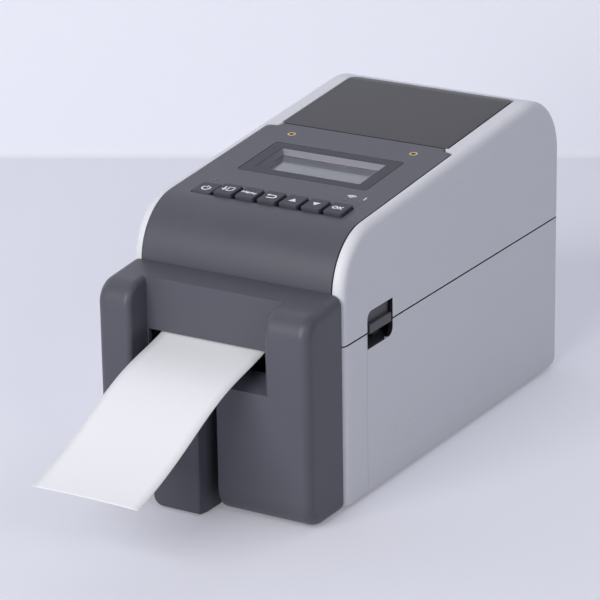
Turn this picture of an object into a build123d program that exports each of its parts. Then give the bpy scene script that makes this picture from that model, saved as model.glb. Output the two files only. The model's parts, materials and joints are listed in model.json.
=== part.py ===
"""Desktop label printer with a hinged lid, a front dispensing unit and a roll of labels.

Millimetres. +X is the printer's right as seen from its front, the label leaves towards -Y, +Z is up.
The origin lies on the desk, under the middle of the casing.
"""

import os
from math import acos, atan2, cos, hypot, pi, radians, sin, tan

from build123d import *

os.makedirs("parts", exist_ok=True)

# Casing
CASE_W = 115.4
CASE_D = 222.0
CASE_Z0 = 2.3  # underside of the casing above the desk
PART_Z = 82.4  # parting line between the lid and the lower casing
PART_GAP = 0.7
WALL = 2.5
RIM_R = 4.2  # rounded rims of the lid and upright rear corners
RIM_MIN_R = 0.5
REAR_FOOT_R = 9.0  # rounded lower edge at the rear
STRIP_D = 23.2  # front frame, from the casing front to the upright seam
STRIP_R = 6.0
SEAM_GAP = 0.3
SILL_Z = 50.0  # top of the front frame's cross wall
MOUTH_SIDE = 7.7  # upright strips beside the front frame's mouth
FLANGE_W = 6.0  # floor flange that carries the base plate
CUT = 1.0  # overrun of a cutting shape past the face it opens
HALF_W = CASE_W / 2
FRONT_Y = -111.0  # what the label passes is placed from here, and the rear follows the depth
REAR_Y = FRONT_Y + CASE_D

# Lid
LID_SETBACK = 0.7  # lid front behind the casing front
TOP_Z = 142.96  # height of the sloping top above the origin
TOP_ANGLE = 5.2
NOSE_R = 29.0
TAIL_R = 32.0
LEDGE_W = 3.2  # seat under the edges of the control cover and the window
LEDGE_T = 2.0

# Control cover and window, on the sloping top
COVER_W = CASE_W - 12.0
COVER_GAP = 0.8
COVER_Z0 = 91.0  # the cover's lower front edge, above the label web
SHOULDER_Y = 6.3
COVER_REAR_Y = 10.1
COVER_REAR_W = CASE_W - 23.4
COVER_CORNER_R = 2.5
WINDOW_W = CASE_W - 22.2
WINDOW_Y = (10.8, REAR_Y - 29.1)
WINDOW_CORNER_R = 5.0

# Keys
KEY_COUNT = 7
KEY_PITCH = 12.12
KEY_W = 10.2
KEY_L = 12.1
KEY_S = -77.0  # middle of the row along the slope
KEY_RISE = 1.8
KEY_FLUSH = 0.5  # the power key is nearly flush
KEY_GAP = 0.4
KEY_TRAVEL = 0.8
KEY_FLANGE = 1.0
KEY_FLANGE_T = 0.9
KEY_R = 1.4
KEY_EDGE_R = 0.6
PLUNGER_R = 2.2
PLUNGER_L = 2.6

# Display, lights and inserts
BEZEL_W = 72.3
BEZEL_L = 38.1
BEZEL_S = -31.45
BEZEL_GAP = 0.25
BEZEL_R = 2.0
BEZEL_DEEP = 6.0
BEZEL_RIM = 1.2
BEZEL_FLANGE = 1.8
LENS_W = 58.3
LENS_L = 26.0
LENS_DEEP = 3.8
LENS_T = 1.0
LENS_GAP = 0.15
LCD_W = 66.0
LCD_L = 34.0
LIGHTS = ((-38.2, -66.3), (32.2, -63.2), (40.5, -63.4))
LIGHT_R = 1.1
LIGHT_GAP = 0.1
INSERT_X = 34.45
INSERT_S = -1.0
INSERT_R = 2.1
INSERT_BORE_R = 1.25
INSERT_L = 6.0
BOSS_WALL = 1.8
BOARD_DEEP = 13.0
BOARD_T = 1.6
BOARD_W = COVER_W - 11.4
BOARD_S = (-86.6, -7.6)
POST_R = 2.4
POST_X = COVER_W / 2 - 9.7
POSTS = ((-POST_X, -57.6), (POST_X, -55.6), (-POST_X, -11.6), (POST_X, -11.6))
MAT_T = 1.0
DOME_R = 3.6
DOME_GAP = 0.5

# Lid hinge
HINGE_Y = REAR_Y - 3.5
HINGE_Z = 93.0
PIN_R = 1.5
RUN_FIT = 0.06  # radial clearance of every running fit
KNUCKLE_R = 3.5
EAR_X = HALF_W - 17.7
EAR_W = 9.0
EAR_GAP = 0.4
LUG_W = 5.0
EAR_FOOT = 12.0
REAR_RELIEF = 0.9  # the lid's rear lower edge is raised so that it can roll past the rear wall

# Release levers
POCKET_Y = (-87.3, -63.0)
POCKET_Z = (74.2, 92.7)
POCKET_R = 4.0
SILL_SLOPE = radians(40.0)  # the pocket's lower edge falls away inwards
LEVER_IN = 2.0  # face of the lever's plate behind the casing side
LEVER_GAP = 0.5
LEVER_END = 1.6  # clear of the pocket's rear end
LEVER_TOP_GAP = 1.2  # room for the upper edge as the lever swings
LEVER_T = 2.4
TAB_Z = (81.0, 85.8)
TAB_INSET = 1.8
TAB_EDGE_R = 0.6
LEVER_PIN_R = 1.2
LEVER_PIN_L = 2.2
LEVER_AXIS_Z = 90.4
HOOK_W = 6.0
HOOK_T = 1.8
HOOK_BACK = 4.0  # inner side of the hook from the lever's inner face
NOSE_L = 1.6
NOSE_T = 1.8
CATCH_T = 2.0
CATCH_GAP = 0.4
LUG_T = 2.4

# Front dispensing unit
UNIT_D = 31.0
UNIT_Z0 = 0.8
UNIT_TOP = 105.2
UNIT_TOP_ANGLE = 5.5
UNIT_NOSE_R = 11.5
UNIT_FOOT_R = 14.0  # rounded lower front edge
UNIT_RIM_R = 5.0
RECESS_X = (-39.2, 34.2)
RECESS_D = 15.4
RECESS_EDGE_R = 3.0
SLOT_Z = (69.1, 80.7)
SLOT_SIDE = 0.6
LEDGE_DROP = 3.5
RELIEF_X = 19.5  # the underside is raised between the handle and here
RELIEF_H = 1.8

# Peel handle and tray
HANDLE_X = (-24.5, 0.9)
HANDLE_OUT = 5.8
HANDLE_FLARE = 1.2
HANDLE_Z = (1.2, 60.0)
HANDLE_GAP = 0.8
HANDLE_R = 5.0
HANDLE_EDGE_R = 1.2
HANDLE_DEEP = 12.0
NOTCH_SIDE = 6.2  # free space right of the handle
TRAY_T = 5.0
TRAY_Z = (44.0, 57.5)
ARM_T = 3.0
ARM_GAP = 0.3
PEEL_TRAVEL = 8.0
PEEL_R = 4.0
PEEL_SHAFT_R = 1.5
PEEL_DY = -9.5  # peel roller from the platen axis
PEEL_DZ = -7.0
BAR_D = 3.0
BAR_LEAD = 9.0
BAR_GAP = 1.2

# Label web, roll and print line
MEDIA_X = -3.5
WEB_W = CASE_W - 58.4
WEB_T = 0.25
WEB_CLEAR = 0.3  # middle of the web from the roll and the platen
PLATEN_Y = FRONT_Y + 11.4
PLATEN_Z = 80.3
PLATEN_R = 7.0
PLATEN_L = WEB_W + 5.0
SHAFT_R = 2.5
ROLL_Y = 0.4
ROLL_Z = 67.3
ROLL_R = 46.0
CORE_R = 12.7
CORE_T = 2.0
WEB_OUT = ((-125.7, 79.7), (-157.6, 71.8), (-197.5, 54.5), (-233.9, 41.3))  # outside the slot
WEB_LEAD = 6.0  # straight run ahead of the print line
WEB_END = radians(14.0)  # droop at the free end

# Roll well, deck and media guides
WELL_GAP = 3.5
WELL_HALF_W = WEB_W / 2 + 10.0
TUB_T = 2.0
DECK_Z = 73.0
DECK_FRONT_Y = PLATEN_Y + 9.0
DECK_REAR_Y = REAR_Y - 8.0
DECK_GAP = 0.6
RIB_L = 8.0
RIB_W = 4.0
GUIDE_GAP = 0.6
GUIDE_T = 3.0
GUIDE_R = 30.0
GUIDE_TRAVEL = 4.0
STEM_W = 24.0
HUB_GAP = 1.5
HUB_L = 7.0
HUB_CHAMFER = 1.0
RACK_Z = (7.2, 10.2)
RACK_BACK = 4.0
GUIDE_MODULE = 1.0
GUIDE_TEETH = 12
POST_PINION_R = 2.5

# Drive
GEAR_MODULE = 0.8
PLATEN_TEETH = 22
IDLER_TEETH = 32
PINION_TEETH = 14
PRESSURE = radians(20.0)
ADDENDUM = 0.9
DEDENDUM = 1.25
BACKLASH = 0.14
GEAR_W = 5.0
GEAR_GAP = 1.5
IDLER_ANGLE = -50.0  # from the platen axis to the idler axis, in the side view
PINION_STEP = 17  # idler tooth that points at the motor pinion
IDLER_PIN_R = 2.0
PIN_END_GAP = 0.4
MOTOR_SHAFT_R = 1.5
MOTOR_R = 16.5
MOTOR_L = 24.0
MOTOR_BOSS_R = 5.0
FRAME_T = 1.5
FRAME_SIDE = 2.0  # frame plates beside the peel tray's arms
FRAME_Y = (FRONT_Y + 3.0, FRONT_Y + 57.0)
FRAME_TOP = 86.0
FRAME_LOW = 69.0
BUSH_R = 4.5
BUSH_FLANGE_R = 5.6
BUSH_FLANGE_T = 1.0

# Print head
HEAD_W = WEB_W + 10.0
HEAD_Y = (-2.4, 12.0)  # ahead of and behind the print line, along the web
CERAMIC_T = 1.4
HEATSINK_T = 7.0
HEAD_CLEAR = 0.3
BEAM_Y = (PLATEN_Y + 1.0, PLATEN_Y + 7.5)
BEAM_Z = (101.3, 108.8)
BEAM_T = 1.5
HANGER_T = 1.5
SPRING_T = 0.5
SPRING_W = 6.0
SPRING_BOW = 1.4

# Floor, boards and ports
BASE_GAP = 0.3
BASE_T = 2.5
BASE_LIP = 2.0
BASE_LIP_T = 1.5
FOOT_R = 7.0
REAR_FOOT = (HALF_W - 14.7, REAR_Y - 27.0)
FRONT_FOOT_X = (HALF_W - 29.7, HALF_W - 7.7)
FRONT_FOOT_D = 11.0
SCREW_R = 1.5
SCREW_HEAD_R = 2.8
SCREW_HEAD_T = 1.1
SCREW_IN = 13.0
MAIN_X = HALF_W - 6.0
MAIN_Y = REAR_Y - 13.0
MAIN_Z = (12.0, 66.0)
STANDOFF_R = 3.0
STANDOFF_X = HALF_W - 12.0
STANDOFF_Z = (36.0, 60.0)
PORT_Z = 24.0
PORT_GAP = 0.4
PORT_PROUD = 0.4
SENSOR_X = (-8.0, 1.0)
SENSOR_Y = (-87.6, -78.6)
SENSOR_H = 6.5

SHELL_TOP = PART_Z - PART_GAP / 2
LID_Z0 = PART_Z + PART_GAP / 2
LID_FRONT_Y = FRONT_Y + LID_SETBACK
SEAM_Y = FRONT_Y + STRIP_D
UNIT_Y0 = FRONT_Y - UNIT_D
RECESS_Y = UNIT_Y0 + RECESS_D
TRAY_X = (MEDIA_X - PLATEN_L / 2 - ARM_T - WALL, MEDIA_X + PLATEN_L / 2 + ARM_T + WALL)
FRAME_IN = (TRAY_X[0] - FRAME_SIDE, TRAY_X[1] + FRAME_SIDE)
FRAME_X = (FRAME_IN[0] - FRAME_T, FRAME_IN[1] + FRAME_T)
SCREW_XY = [(x, y) for x in (FRAME_X[0] + SCREW_IN, FRAME_X[1] - SCREW_IN) for y in (-98.0, -62.0)]
STANDOFFS = [(x, z) for x in (-STANDOFF_X, STANDOFF_X) for z in STANDOFF_Z]
TILT = radians(TOP_ANGLE)
panel = Plane(origin=(0, 0, TOP_Z), x_dir=(1, 0, 0), z_dir=(0, -sin(TILT), cos(TILT)))


def block(x, y, z, mode=Mode.ADD):
    """Box between the low and high limits on each axis, in the part being built."""
    limits = (x, y, z)
    with Locations(tuple((low + high) / 2 for low, high in limits)):
        return Box(*(high - low for low, high in limits), mode=mode)


def rod(radius, x, y, z, mode=Mode.ADD):
    """Round bar along X from x[0] to x[1], in the part being built."""
    with Locations(Location(((x[0] + x[1]) / 2, y, z), (0, 90, 0))):
        return Cylinder(radius, x[1] - x[0], mode=mode)


def side_pair(inner, outer, side):
    """Limits along X of something between two distances from the middle, on the left (-1) or right (1)."""
    return (inner, outer) if side > 0 else (-outer, -inner)


def save(piece, name):
    """Label a finished piece and write it to its own file."""
    piece.part.label = name
    export_step(piece.part, f"parts/{name}.step")


def involute(angle):
    return tan(angle) - angle


def gear_sketch(teeth, module, first_tooth, plane):
    """Spur gear: involute teeth on a root disc, one of them centred at first_tooth degrees."""
    pitch_r = module * teeth / 2
    base_r = pitch_r * cos(PRESSURE)
    tip_r = pitch_r + module * ADDENDUM
    root_r = pitch_r - module * DEDENDUM
    low_r = max(base_r, root_r)
    half_base = (pi / 2 - BACKLASH / module / 2) / teeth + involute(PRESSURE)
    radii = [low_r + (tip_r - low_r) * step / 3 for step in range(4)]
    flank = [(r, half_base - involute(acos(min(1.0, base_r / r)))) for r in radii]
    flank = [(root_r * 0.9, flank[0][1])] + flank
    right = [(r * cos(a), -r * sin(a)) for r, a in flank]
    left = [(r * cos(a), r * sin(a)) for r, a in reversed(flank)]
    with BuildSketch() as tooth:
        with BuildLine():
            Polyline(*right, *left, close=True)
        make_face()
    with BuildSketch(plane) as gear:
        Circle(root_r)
        with PolarLocations(0, teeth, first_tooth):
            add(tooth.sketch)
    return gear.sketch


# Casing volumes that several pieces are cut from


def lid_block(inset, side_inset=None):
    """Lid volume: its side profile carried across the width, rims rounded, all faces moved in by inset."""
    half = HALF_W - (inset if side_inset is None else side_inset)
    low = LID_Z0 if inset == 0 else LID_Z0 - CUT
    front, rear = LID_FRONT_Y + inset, REAR_Y - inset
    drop = inset / cos(TILT)
    front_top = TOP_Z + front * tan(TILT) - drop
    rear_top = TOP_Z + rear * tan(TILT) - drop
    with BuildPart() as volume:
        with BuildSketch(Plane.YZ) as profile:
            with BuildLine():
                Polyline((front, low), (front, front_top), (rear, rear_top), (rear, low), close=True)
            make_face()
            fillet(profile.vertices().sort_by(Axis.Y)[2], NOSE_R - inset)
            fillet(profile.vertices().sort_by(Axis.Y)[-1], TAIL_R - inset)
        extrude(amount=half, both=True)
        rims = volume.faces().filter_by(Axis.X).edges() - volume.faces().sort_by(Axis.Z)[0].edges()
        fillet(rims, max(RIM_R - inset, RIM_MIN_R))
    return volume.part


def lower_block(inset):
    """Lower casing volume: a plan with rounded rear corners, crossed with a profile rounded at the rear foot."""
    low = CASE_Z0 + inset
    top = SHELL_TOP if inset == 0 else SHELL_TOP + CUT
    front = SEAM_Y + SEAM_GAP if inset == 0 else SEAM_Y - CUT
    half, rear = HALF_W - inset, REAR_Y - inset
    with BuildPart() as volume:
        with BuildSketch(Plane.XY.offset(low)) as plan:
            with BuildLine():
                Polyline((-half, front), (half, front), (half, rear), (-half, rear), close=True)
            make_face()
            fillet(plan.vertices().group_by(Axis.Y)[-1], RIM_R - inset)
        extrude(amount=top - low)
        with BuildSketch(Plane.YZ) as profile:
            with BuildLine():
                Polyline((front, low), (rear, low), (rear, top), (front, top), close=True)
            make_face()
            fillet(profile.vertices().group_by(Axis.Y)[0].sort_by(Axis.X)[-1], REAR_FOOT_R - inset)
        extrude(amount=HALF_W, both=True, mode=Mode.INTERSECT)
    return volume.part


def unit_block(inset):
    """Front unit volume: its side profile carried across the width, with a rounded nose, foot and rims."""
    rear = FRONT_Y if inset == 0 else FRONT_Y + CUT
    front, low = UNIT_Y0 + inset, UNIT_Z0 + inset
    top = UNIT_TOP - inset
    rise = (rear - front) * tan(radians(UNIT_TOP_ANGLE))
    with BuildPart() as volume:
        with BuildSketch(Plane.YZ) as profile:
            with BuildLine():
                Polyline((rear, low), (front, low), (front, top), (rear, top + rise), close=True)
            make_face()
            ahead = profile.vertices().group_by(Axis.X)[0].sort_by(Axis.Y)
            fillet(ahead[-1], UNIT_NOSE_R - inset)
            fillet(profile.vertices().group_by(Axis.Y)[0].sort_by(Axis.X)[0], UNIT_FOOT_R - inset)
        extrude(amount=HALF_W - inset, both=True)
        rims = volume.faces().filter_by(Axis.X).edges() - volume.faces().sort_by(Axis.Y)[-1].edges()
        fillet(rims, UNIT_RIM_R - inset)
    return volume.part


def recess_block(grow):
    """Space of the front recess above its sloping ledge, all its walls moved out by grow."""
    back, ahead = RECESS_Y + grow, UNIT_Y0 - CUT
    ledge = SLOT_Z[0] - grow
    drop = LEDGE_DROP * (RECESS_Y - ahead) / RECESS_D
    high = UNIT_TOP + UNIT_D
    with BuildPart() as space:
        with BuildSketch(Plane.YZ.offset(RECESS_X[0] - grow)):
            with BuildLine():
                Polyline((back, ledge), (ahead, ledge - drop), (ahead, high), (back, high), close=True)
            make_face()
        extrude(amount=RECESS_X[1] - RECESS_X[0] + 2 * grow)
    return space.part


def unit_core():
    """Hollow of the front unit: its volume moved in by the wall, less the walled recess."""
    with BuildPart() as hollow:
        add(unit_block(WALL))
        add(recess_block(WALL), mode=Mode.SUBTRACT)
    return hollow.part


# Lower casing

BASE_X = HALF_W - FLANGE_W
BASE_REAR_Y = REAR_Y - FLANGE_W - REAR_FOOT_R
BASE_TOP = CASE_Z0 + BASE_T + BASE_LIP_T
# middle along X, width, height and pin radius of each port
PORTS = {
    "dc_jack": (-38.0, 10.0, 11.0, 3.2),
    "usb_port": (-14.0, 12.2, 11.2, 0.0),
    "lan_port": (12.0, 16.2, 13.6, 0.0),
}

with BuildPart() as lower_shell:
    add(lower_block(0))
    add(lower_block(WALL), mode=Mode.SUBTRACT)
    block((-BASE_X, BASE_X), (SEAM_Y - CUT, BASE_REAR_Y), (CASE_Z0 - CUT, CASE_Z0 + WALL + CUT), Mode.SUBTRACT)
    # finger pockets under the release levers, their sills falling away inwards
    for side in (-1, 1):
        with BuildSketch(Plane.YZ.offset(side * HALF_W)) as pocket:
            with Locations(((POCKET_Y[0] + POCKET_Y[1]) / 2, (POCKET_Z[0] + SHELL_TOP + CUT) / 2)):
                Rectangle(POCKET_Y[1] - POCKET_Y[0], SHELL_TOP + CUT - POCKET_Z[0])
            fillet(pocket.vertices().group_by(Axis.Y)[0].sort_by(Axis.X)[-1], POCKET_R)
        extrude(amount=WALL + CUT, both=True, mode=Mode.SUBTRACT)
        sill_in = HALF_W - WALL - CUT
        sill_low = POCKET_Z[0] - (WALL + CUT) * tan(SILL_SLOPE)
        with BuildSketch(Plane.XZ.offset(-POCKET_Y[0])):
            with BuildLine():
                Polyline(
                    (side * HALF_W, POCKET_Z[0]),
                    (side * sill_in, POCKET_Z[0] + CUT),
                    (side * sill_in, sill_low),
                    close=True,
                )
            make_face()
        extrude(amount=-(POCKET_Y[1] - POCKET_Y[0] - POCKET_R), mode=Mode.SUBTRACT)
    # hinge ears with their feet inside the rear wall
    for side in (-1, 1):
        ear = (side * EAR_X - EAR_W / 2, side * EAR_X + EAR_W / 2)
        ear_y = (HINGE_Y - KNUCKLE_R, HINGE_Y + KNUCKLE_R)
        block(ear, ear_y, (SHELL_TOP - EAR_FOOT, HINGE_Z))
        rod(KNUCKLE_R, ear, HINGE_Y, HINGE_Z)
        rod(PIN_R, (ear[0] - CUT, ear[1] + CUT), HINGE_Y, HINGE_Z, Mode.SUBTRACT)
    # ribs under the deck
    for side in (-1, 1):
        for rib_y in (FRAME_Y[1], DECK_REAR_Y - 2 * RIB_L):
            rib = side_pair(HALF_W - WALL - RIB_W, HALF_W - WALL / 2, side)
            block(rib, (rib_y, rib_y + RIB_L), (DECK_Z - TUB_T - 3 * RIB_W, DECK_Z - TUB_T))
    # standoffs of the main board
    with BuildSketch(Plane.XZ.offset(-MAIN_Y - BOARD_T)):
        with Locations(*STANDOFFS):
            Circle(STANDOFF_R)
    extrude(amount=-(REAR_Y - WALL / 2 - MAIN_Y - BOARD_T))
    # port openings in the rear wall
    for port_x, port_w, port_h, _ in PORTS.values():
        opening = (port_x - port_w / 2 - PORT_GAP, port_x + port_w / 2 + PORT_GAP)
        height = (PORT_Z - port_h / 2 - PORT_GAP, PORT_Z + port_h / 2 + PORT_GAP)
        block(opening, (REAR_Y - WALL - CUT, REAR_Y + CUT), height, Mode.SUBTRACT)
save(lower_shell, "lower_shell")

with BuildPart() as front_frame:
    with BuildSketch(Plane.XY.offset(CASE_Z0)) as plan:
        with BuildLine():
            Polyline((-HALF_W, SEAM_Y), (-HALF_W, FRONT_Y), (HALF_W, FRONT_Y), (HALF_W, SEAM_Y), close=True)
        make_face()
        fillet(plan.vertices().group_by(Axis.Y)[0], STRIP_R)
    extrude(amount=SHELL_TOP - CASE_Z0)
    inner = HALF_W - WALL
    with BuildSketch(Plane.XY.offset(CASE_Z0 - CUT)) as hollow:
        with BuildLine():
            Polyline(
                (-inner, SEAM_Y + CUT),
                (-inner, FRONT_Y + WALL),
                (inner, FRONT_Y + WALL),
                (inner, SEAM_Y + CUT),
                close=True,
            )
        make_face()
        fillet(hollow.vertices().group_by(Axis.Y)[0], STRIP_R - WALL)
    extrude(amount=SHELL_TOP - CASE_Z0 + 2 * CUT, mode=Mode.SUBTRACT)
    mouth = HALF_W - MOUTH_SIDE
    block((-mouth, mouth), (FRONT_Y - CUT, FRONT_Y + WALL + CUT), (SILL_Z, SHELL_TOP + CUT), Mode.SUBTRACT)
save(front_frame, "front_frame")

with BuildPart() as base_plate:
    plate_x = BASE_X - BASE_GAP
    plate_y = (FRONT_Y + WALL + 2 * BASE_GAP, BASE_REAR_Y - BASE_GAP)
    block((-plate_x, plate_x), plate_y, (CASE_Z0, CASE_Z0 + BASE_T))
    lip_x = plate_x + BASE_LIP
    block((-lip_x, lip_x), (plate_y[0], plate_y[1] + BASE_LIP), (CASE_Z0 + BASE_T, BASE_TOP))
    with Locations((MEDIA_X, ROLL_Y, BASE_TOP)):
        Cylinder(POST_PINION_R, RACK_Z[1] - BASE_TOP, align=(Align.CENTER, Align.CENTER, Align.MIN))
    with Locations(*[(x, y, CASE_Z0) for x, y in SCREW_XY]):
        Cylinder(SCREW_R + RUN_FIT, 4 * BASE_T, mode=Mode.SUBTRACT)
save(base_plate, "base_plate")

with BuildPart() as rubber_feet:
    with Locations((REAR_FOOT[0], REAR_FOOT[1], 0), (-REAR_FOOT[0], REAR_FOOT[1], 0)):
        Cylinder(FOOT_R, CASE_Z0, align=(Align.CENTER, Align.CENTER, Align.MIN))
    for side in (-1, 1):
        foot_y = FRONT_Y - UNIT_RIM_R
        block(side_pair(*FRONT_FOOT_X, side), (foot_y - FRONT_FOOT_D, foot_y), (0, UNIT_Z0))
    chamfer(rubber_feet.faces().filter_by(Axis.Z).group_by(Axis.Z)[0].edges(), UNIT_Z0 / 2)
save(rubber_feet, "rubber_feet")

# Front dispensing unit

with BuildPart() as front_cover:
    add(unit_block(0))
    add(recess_block(0), mode=Mode.SUBTRACT)
    for wall_x in RECESS_X:
        wall = front_cover.faces().filter_by(Axis.X).filter_by_position(Axis.X, wall_x - CUT, wall_x + CUT)
        outer = [e for e in wall.edges() if e.center().Y < RECESS_Y - CUT / 2 and e.center().Z > SLOT_Z[0]]
        fillet(outer, RECESS_EDGE_R)
    add(unit_core(), mode=Mode.SUBTRACT)
    # label slot and the handle's notch
    slot_x = (RECESS_X[0] + SLOT_SIDE, RECESS_X[1] - SLOT_SIDE)
    block(slot_x, (RECESS_Y - CUT, RECESS_Y + WALL + CUT), SLOT_Z, Mode.SUBTRACT)
    notch_x = (HANDLE_X[0] - HANDLE_FLARE - HANDLE_GAP, HANDLE_X[1] + HANDLE_FLARE + NOTCH_SIDE)
    notch_top, relief = HANDLE_Z[1] + HANDLE_GAP, UNIT_Z0 + RELIEF_H
    with BuildSketch(Plane.XZ.offset(-UNIT_Y0 + CUT)) as notch:
        with BuildLine():
            Polyline(
                (notch_x[0], UNIT_Z0 - CUT),
                (notch_x[0], notch_top),
                (notch_x[1], notch_top),
                (notch_x[1], relief),
                (RELIEF_X, relief),
                (RELIEF_X + RELIEF_H, UNIT_Z0 - CUT),
                close=True,
            )
        make_face()
        fillet(notch.vertices().sort_by(Axis.Y)[2:4].sort_by(Axis.X)[0], RELIEF_H)
    extrude(amount=-(UNIT_D + 2 * CUT), mode=Mode.SUBTRACT)
save(front_cover, "front_cover")

with BuildPart() as peel_handle:
    handle_y = (UNIT_Y0 - HANDLE_OUT, UNIT_Y0 + HANDLE_DEEP)
    wide = (HANDLE_X[0] - HANDLE_FLARE, HANDLE_X[1] + HANDLE_FLARE)
    with BuildSketch(Plane.XY.offset(HANDLE_Z[0])):
        with BuildLine():
            Polyline(
                (HANDLE_X[0], handle_y[0]),
                (HANDLE_X[1], handle_y[0]),
                (wide[1], UNIT_Y0),
                (wide[1], handle_y[1]),
                (wide[0], handle_y[1]),
                (wide[0], UNIT_Y0),
                close=True,
            )
        make_face()
    extrude(amount=HANDLE_Z[1] - HANDLE_Z[0])
    under = peel_handle.faces().sort_by(Axis.Z)[0].edges()
    fillet([e for e in under if e.center().X < HANDLE_X[0]], HANDLE_R)
    fillet(peel_handle.faces().sort_by(Axis.Y)[0].edges(), HANDLE_EDGE_R)
save(peel_handle, "peel_handle")

PEEL_Y, PEEL_Z = PLATEN_Y + PEEL_DY, PLATEN_Z + PEEL_DZ

with BuildPart() as peel_tray:
    tray_y = (handle_y[1], handle_y[1] + TRAY_T)
    block(TRAY_X, tray_y, TRAY_Z)
    for arm in ((TRAY_X[0], TRAY_X[0] + ARM_T), (TRAY_X[1] - ARM_T, TRAY_X[1])):
        block(arm, (tray_y[0], PEEL_Y + PEEL_R), (SILL_Z + ARM_GAP, TRAY_Z[1]))
        block(arm, (PEEL_Y - PEEL_R, PEEL_Y + PEEL_R), (SILL_Z + ARM_GAP, PEEL_Z))
        rod(PEEL_R, arm, PEEL_Y, PEEL_Z)
        rod(PEEL_SHAFT_R + RUN_FIT, (arm[0] - CUT, arm[1] + CUT), PEEL_Y, PEEL_Z, Mode.SUBTRACT)
save(peel_tray, "peel_tray")

with BuildPart() as peel_roller:
    rod(PEEL_R, (MEDIA_X - PLATEN_L / 2, MEDIA_X + PLATEN_L / 2), PEEL_Y, PEEL_Z)
    rod(PEEL_SHAFT_R, TRAY_X, PEEL_Y, PEEL_Z)
save(peel_roller, "peel_roller")

# Label web: straight from the roll over the platen to the slot, then drooping freely

WEB_DY, WEB_DZ = PLATEN_Y - ROLL_Y, PLATEN_Z - ROLL_Z
WEB_ANGLE = atan2(WEB_DZ, WEB_DY) - acos((ROLL_R - PLATEN_R) / hypot(WEB_DY, WEB_DZ))
web_n = (cos(WEB_ANGLE), sin(WEB_ANGLE))
roll_touch = (ROLL_Y + (ROLL_R + WEB_CLEAR) * web_n[0], ROLL_Z + (ROLL_R + WEB_CLEAR) * web_n[1])
nip = (PLATEN_Y + (PLATEN_R + WEB_CLEAR) * web_n[0], PLATEN_Z + (PLATEN_R + WEB_CLEAR) * web_n[1])
lead = (nip[0] - WEB_LEAD * web_n[1], nip[1] + WEB_LEAD * web_n[0])


def web_edge(lift):
    """Side view of one face of the web, lifted from its middle line; returns the two ends."""
    start, turn, *outside = [(y, z + lift) for y, z in (roll_touch, lead, *WEB_OUT)]
    Line(start, turn)
    Spline(turn, *outside, tangents=((-web_n[1], web_n[0]), (-cos(WEB_END), -sin(WEB_END))))
    return start, outside[-1]


with BuildPart() as label_strip:
    with BuildSketch(Plane.YZ.offset(MEDIA_X - WEB_W / 2)):
        with BuildLine():
            for low_end, high_end in zip(web_edge(-WEB_T / 2), web_edge(WEB_T / 2)):
                Line(low_end, high_end)
        make_face()
    extrude(amount=WEB_W)
save(label_strip, "label_strip")

with BuildPart() as label_roll:
    rod(ROLL_R, (MEDIA_X - WEB_W / 2, MEDIA_X + WEB_W / 2), ROLL_Y, ROLL_Z)
    rod(CORE_R + CORE_T, (MEDIA_X - WEB_W, MEDIA_X + WEB_W), ROLL_Y, ROLL_Z, Mode.SUBTRACT)
save(label_roll, "label_roll")

with BuildPart() as label_core:
    rod(CORE_R + CORE_T, (MEDIA_X - WEB_W / 2, MEDIA_X + WEB_W / 2), ROLL_Y, ROLL_Z)
    rod(CORE_R, (MEDIA_X - WEB_W, MEDIA_X + WEB_W), ROLL_Y, ROLL_Z, Mode.SUBTRACT)
save(label_core, "label_core")

# Gear train: the motor drives the platen through an idler, all in one plane

GEAR_X = FRAME_X[1] + GEAR_GAP
idler_reach = GEAR_MODULE * (PLATEN_TEETH + IDLER_TEETH) / 2
IDLER_Y = PLATEN_Y + idler_reach * cos(radians(IDLER_ANGLE))
IDLER_Z = PLATEN_Z + idler_reach * sin(radians(IDLER_ANGLE))
idler_tooth = IDLER_ANGLE + 180.0 + 180.0 / IDLER_TEETH
pinion_angle = idler_tooth + PINION_STEP * 360.0 / IDLER_TEETH
pinion_reach = GEAR_MODULE * (IDLER_TEETH + PINION_TEETH) / 2
MOTOR_Y = IDLER_Y + pinion_reach * cos(radians(pinion_angle))
MOTOR_Z = IDLER_Z + pinion_reach * sin(radians(pinion_angle))
gear_plane = Plane.YZ.offset(GEAR_X)

# Deck and roll well

WELL_R = ROLL_R + WELL_GAP
WELL_X = (MEDIA_X - WELL_HALF_W, MEDIA_X + WELL_HALF_W)
GUIDE_IN = WEB_W / 2 + GUIDE_GAP


def well_sketch(radius, x):
    """Trough outline in the side view: a half circle round the roll's axis with upright walls above it."""
    with BuildSketch(Plane.YZ.offset(x)) as trough:
        with Locations((ROLL_Y, ROLL_Z)):
            Circle(radius)
        with Locations((ROLL_Y, (ROLL_Z + DECK_Z) / 2)):
            Rectangle(2 * radius, DECK_Z - ROLL_Z)
        with Locations((ROLL_Y, DECK_Z + radius)):
            Rectangle(4 * radius, 2 * radius, mode=Mode.SUBTRACT)
    return trough.sketch


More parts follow.
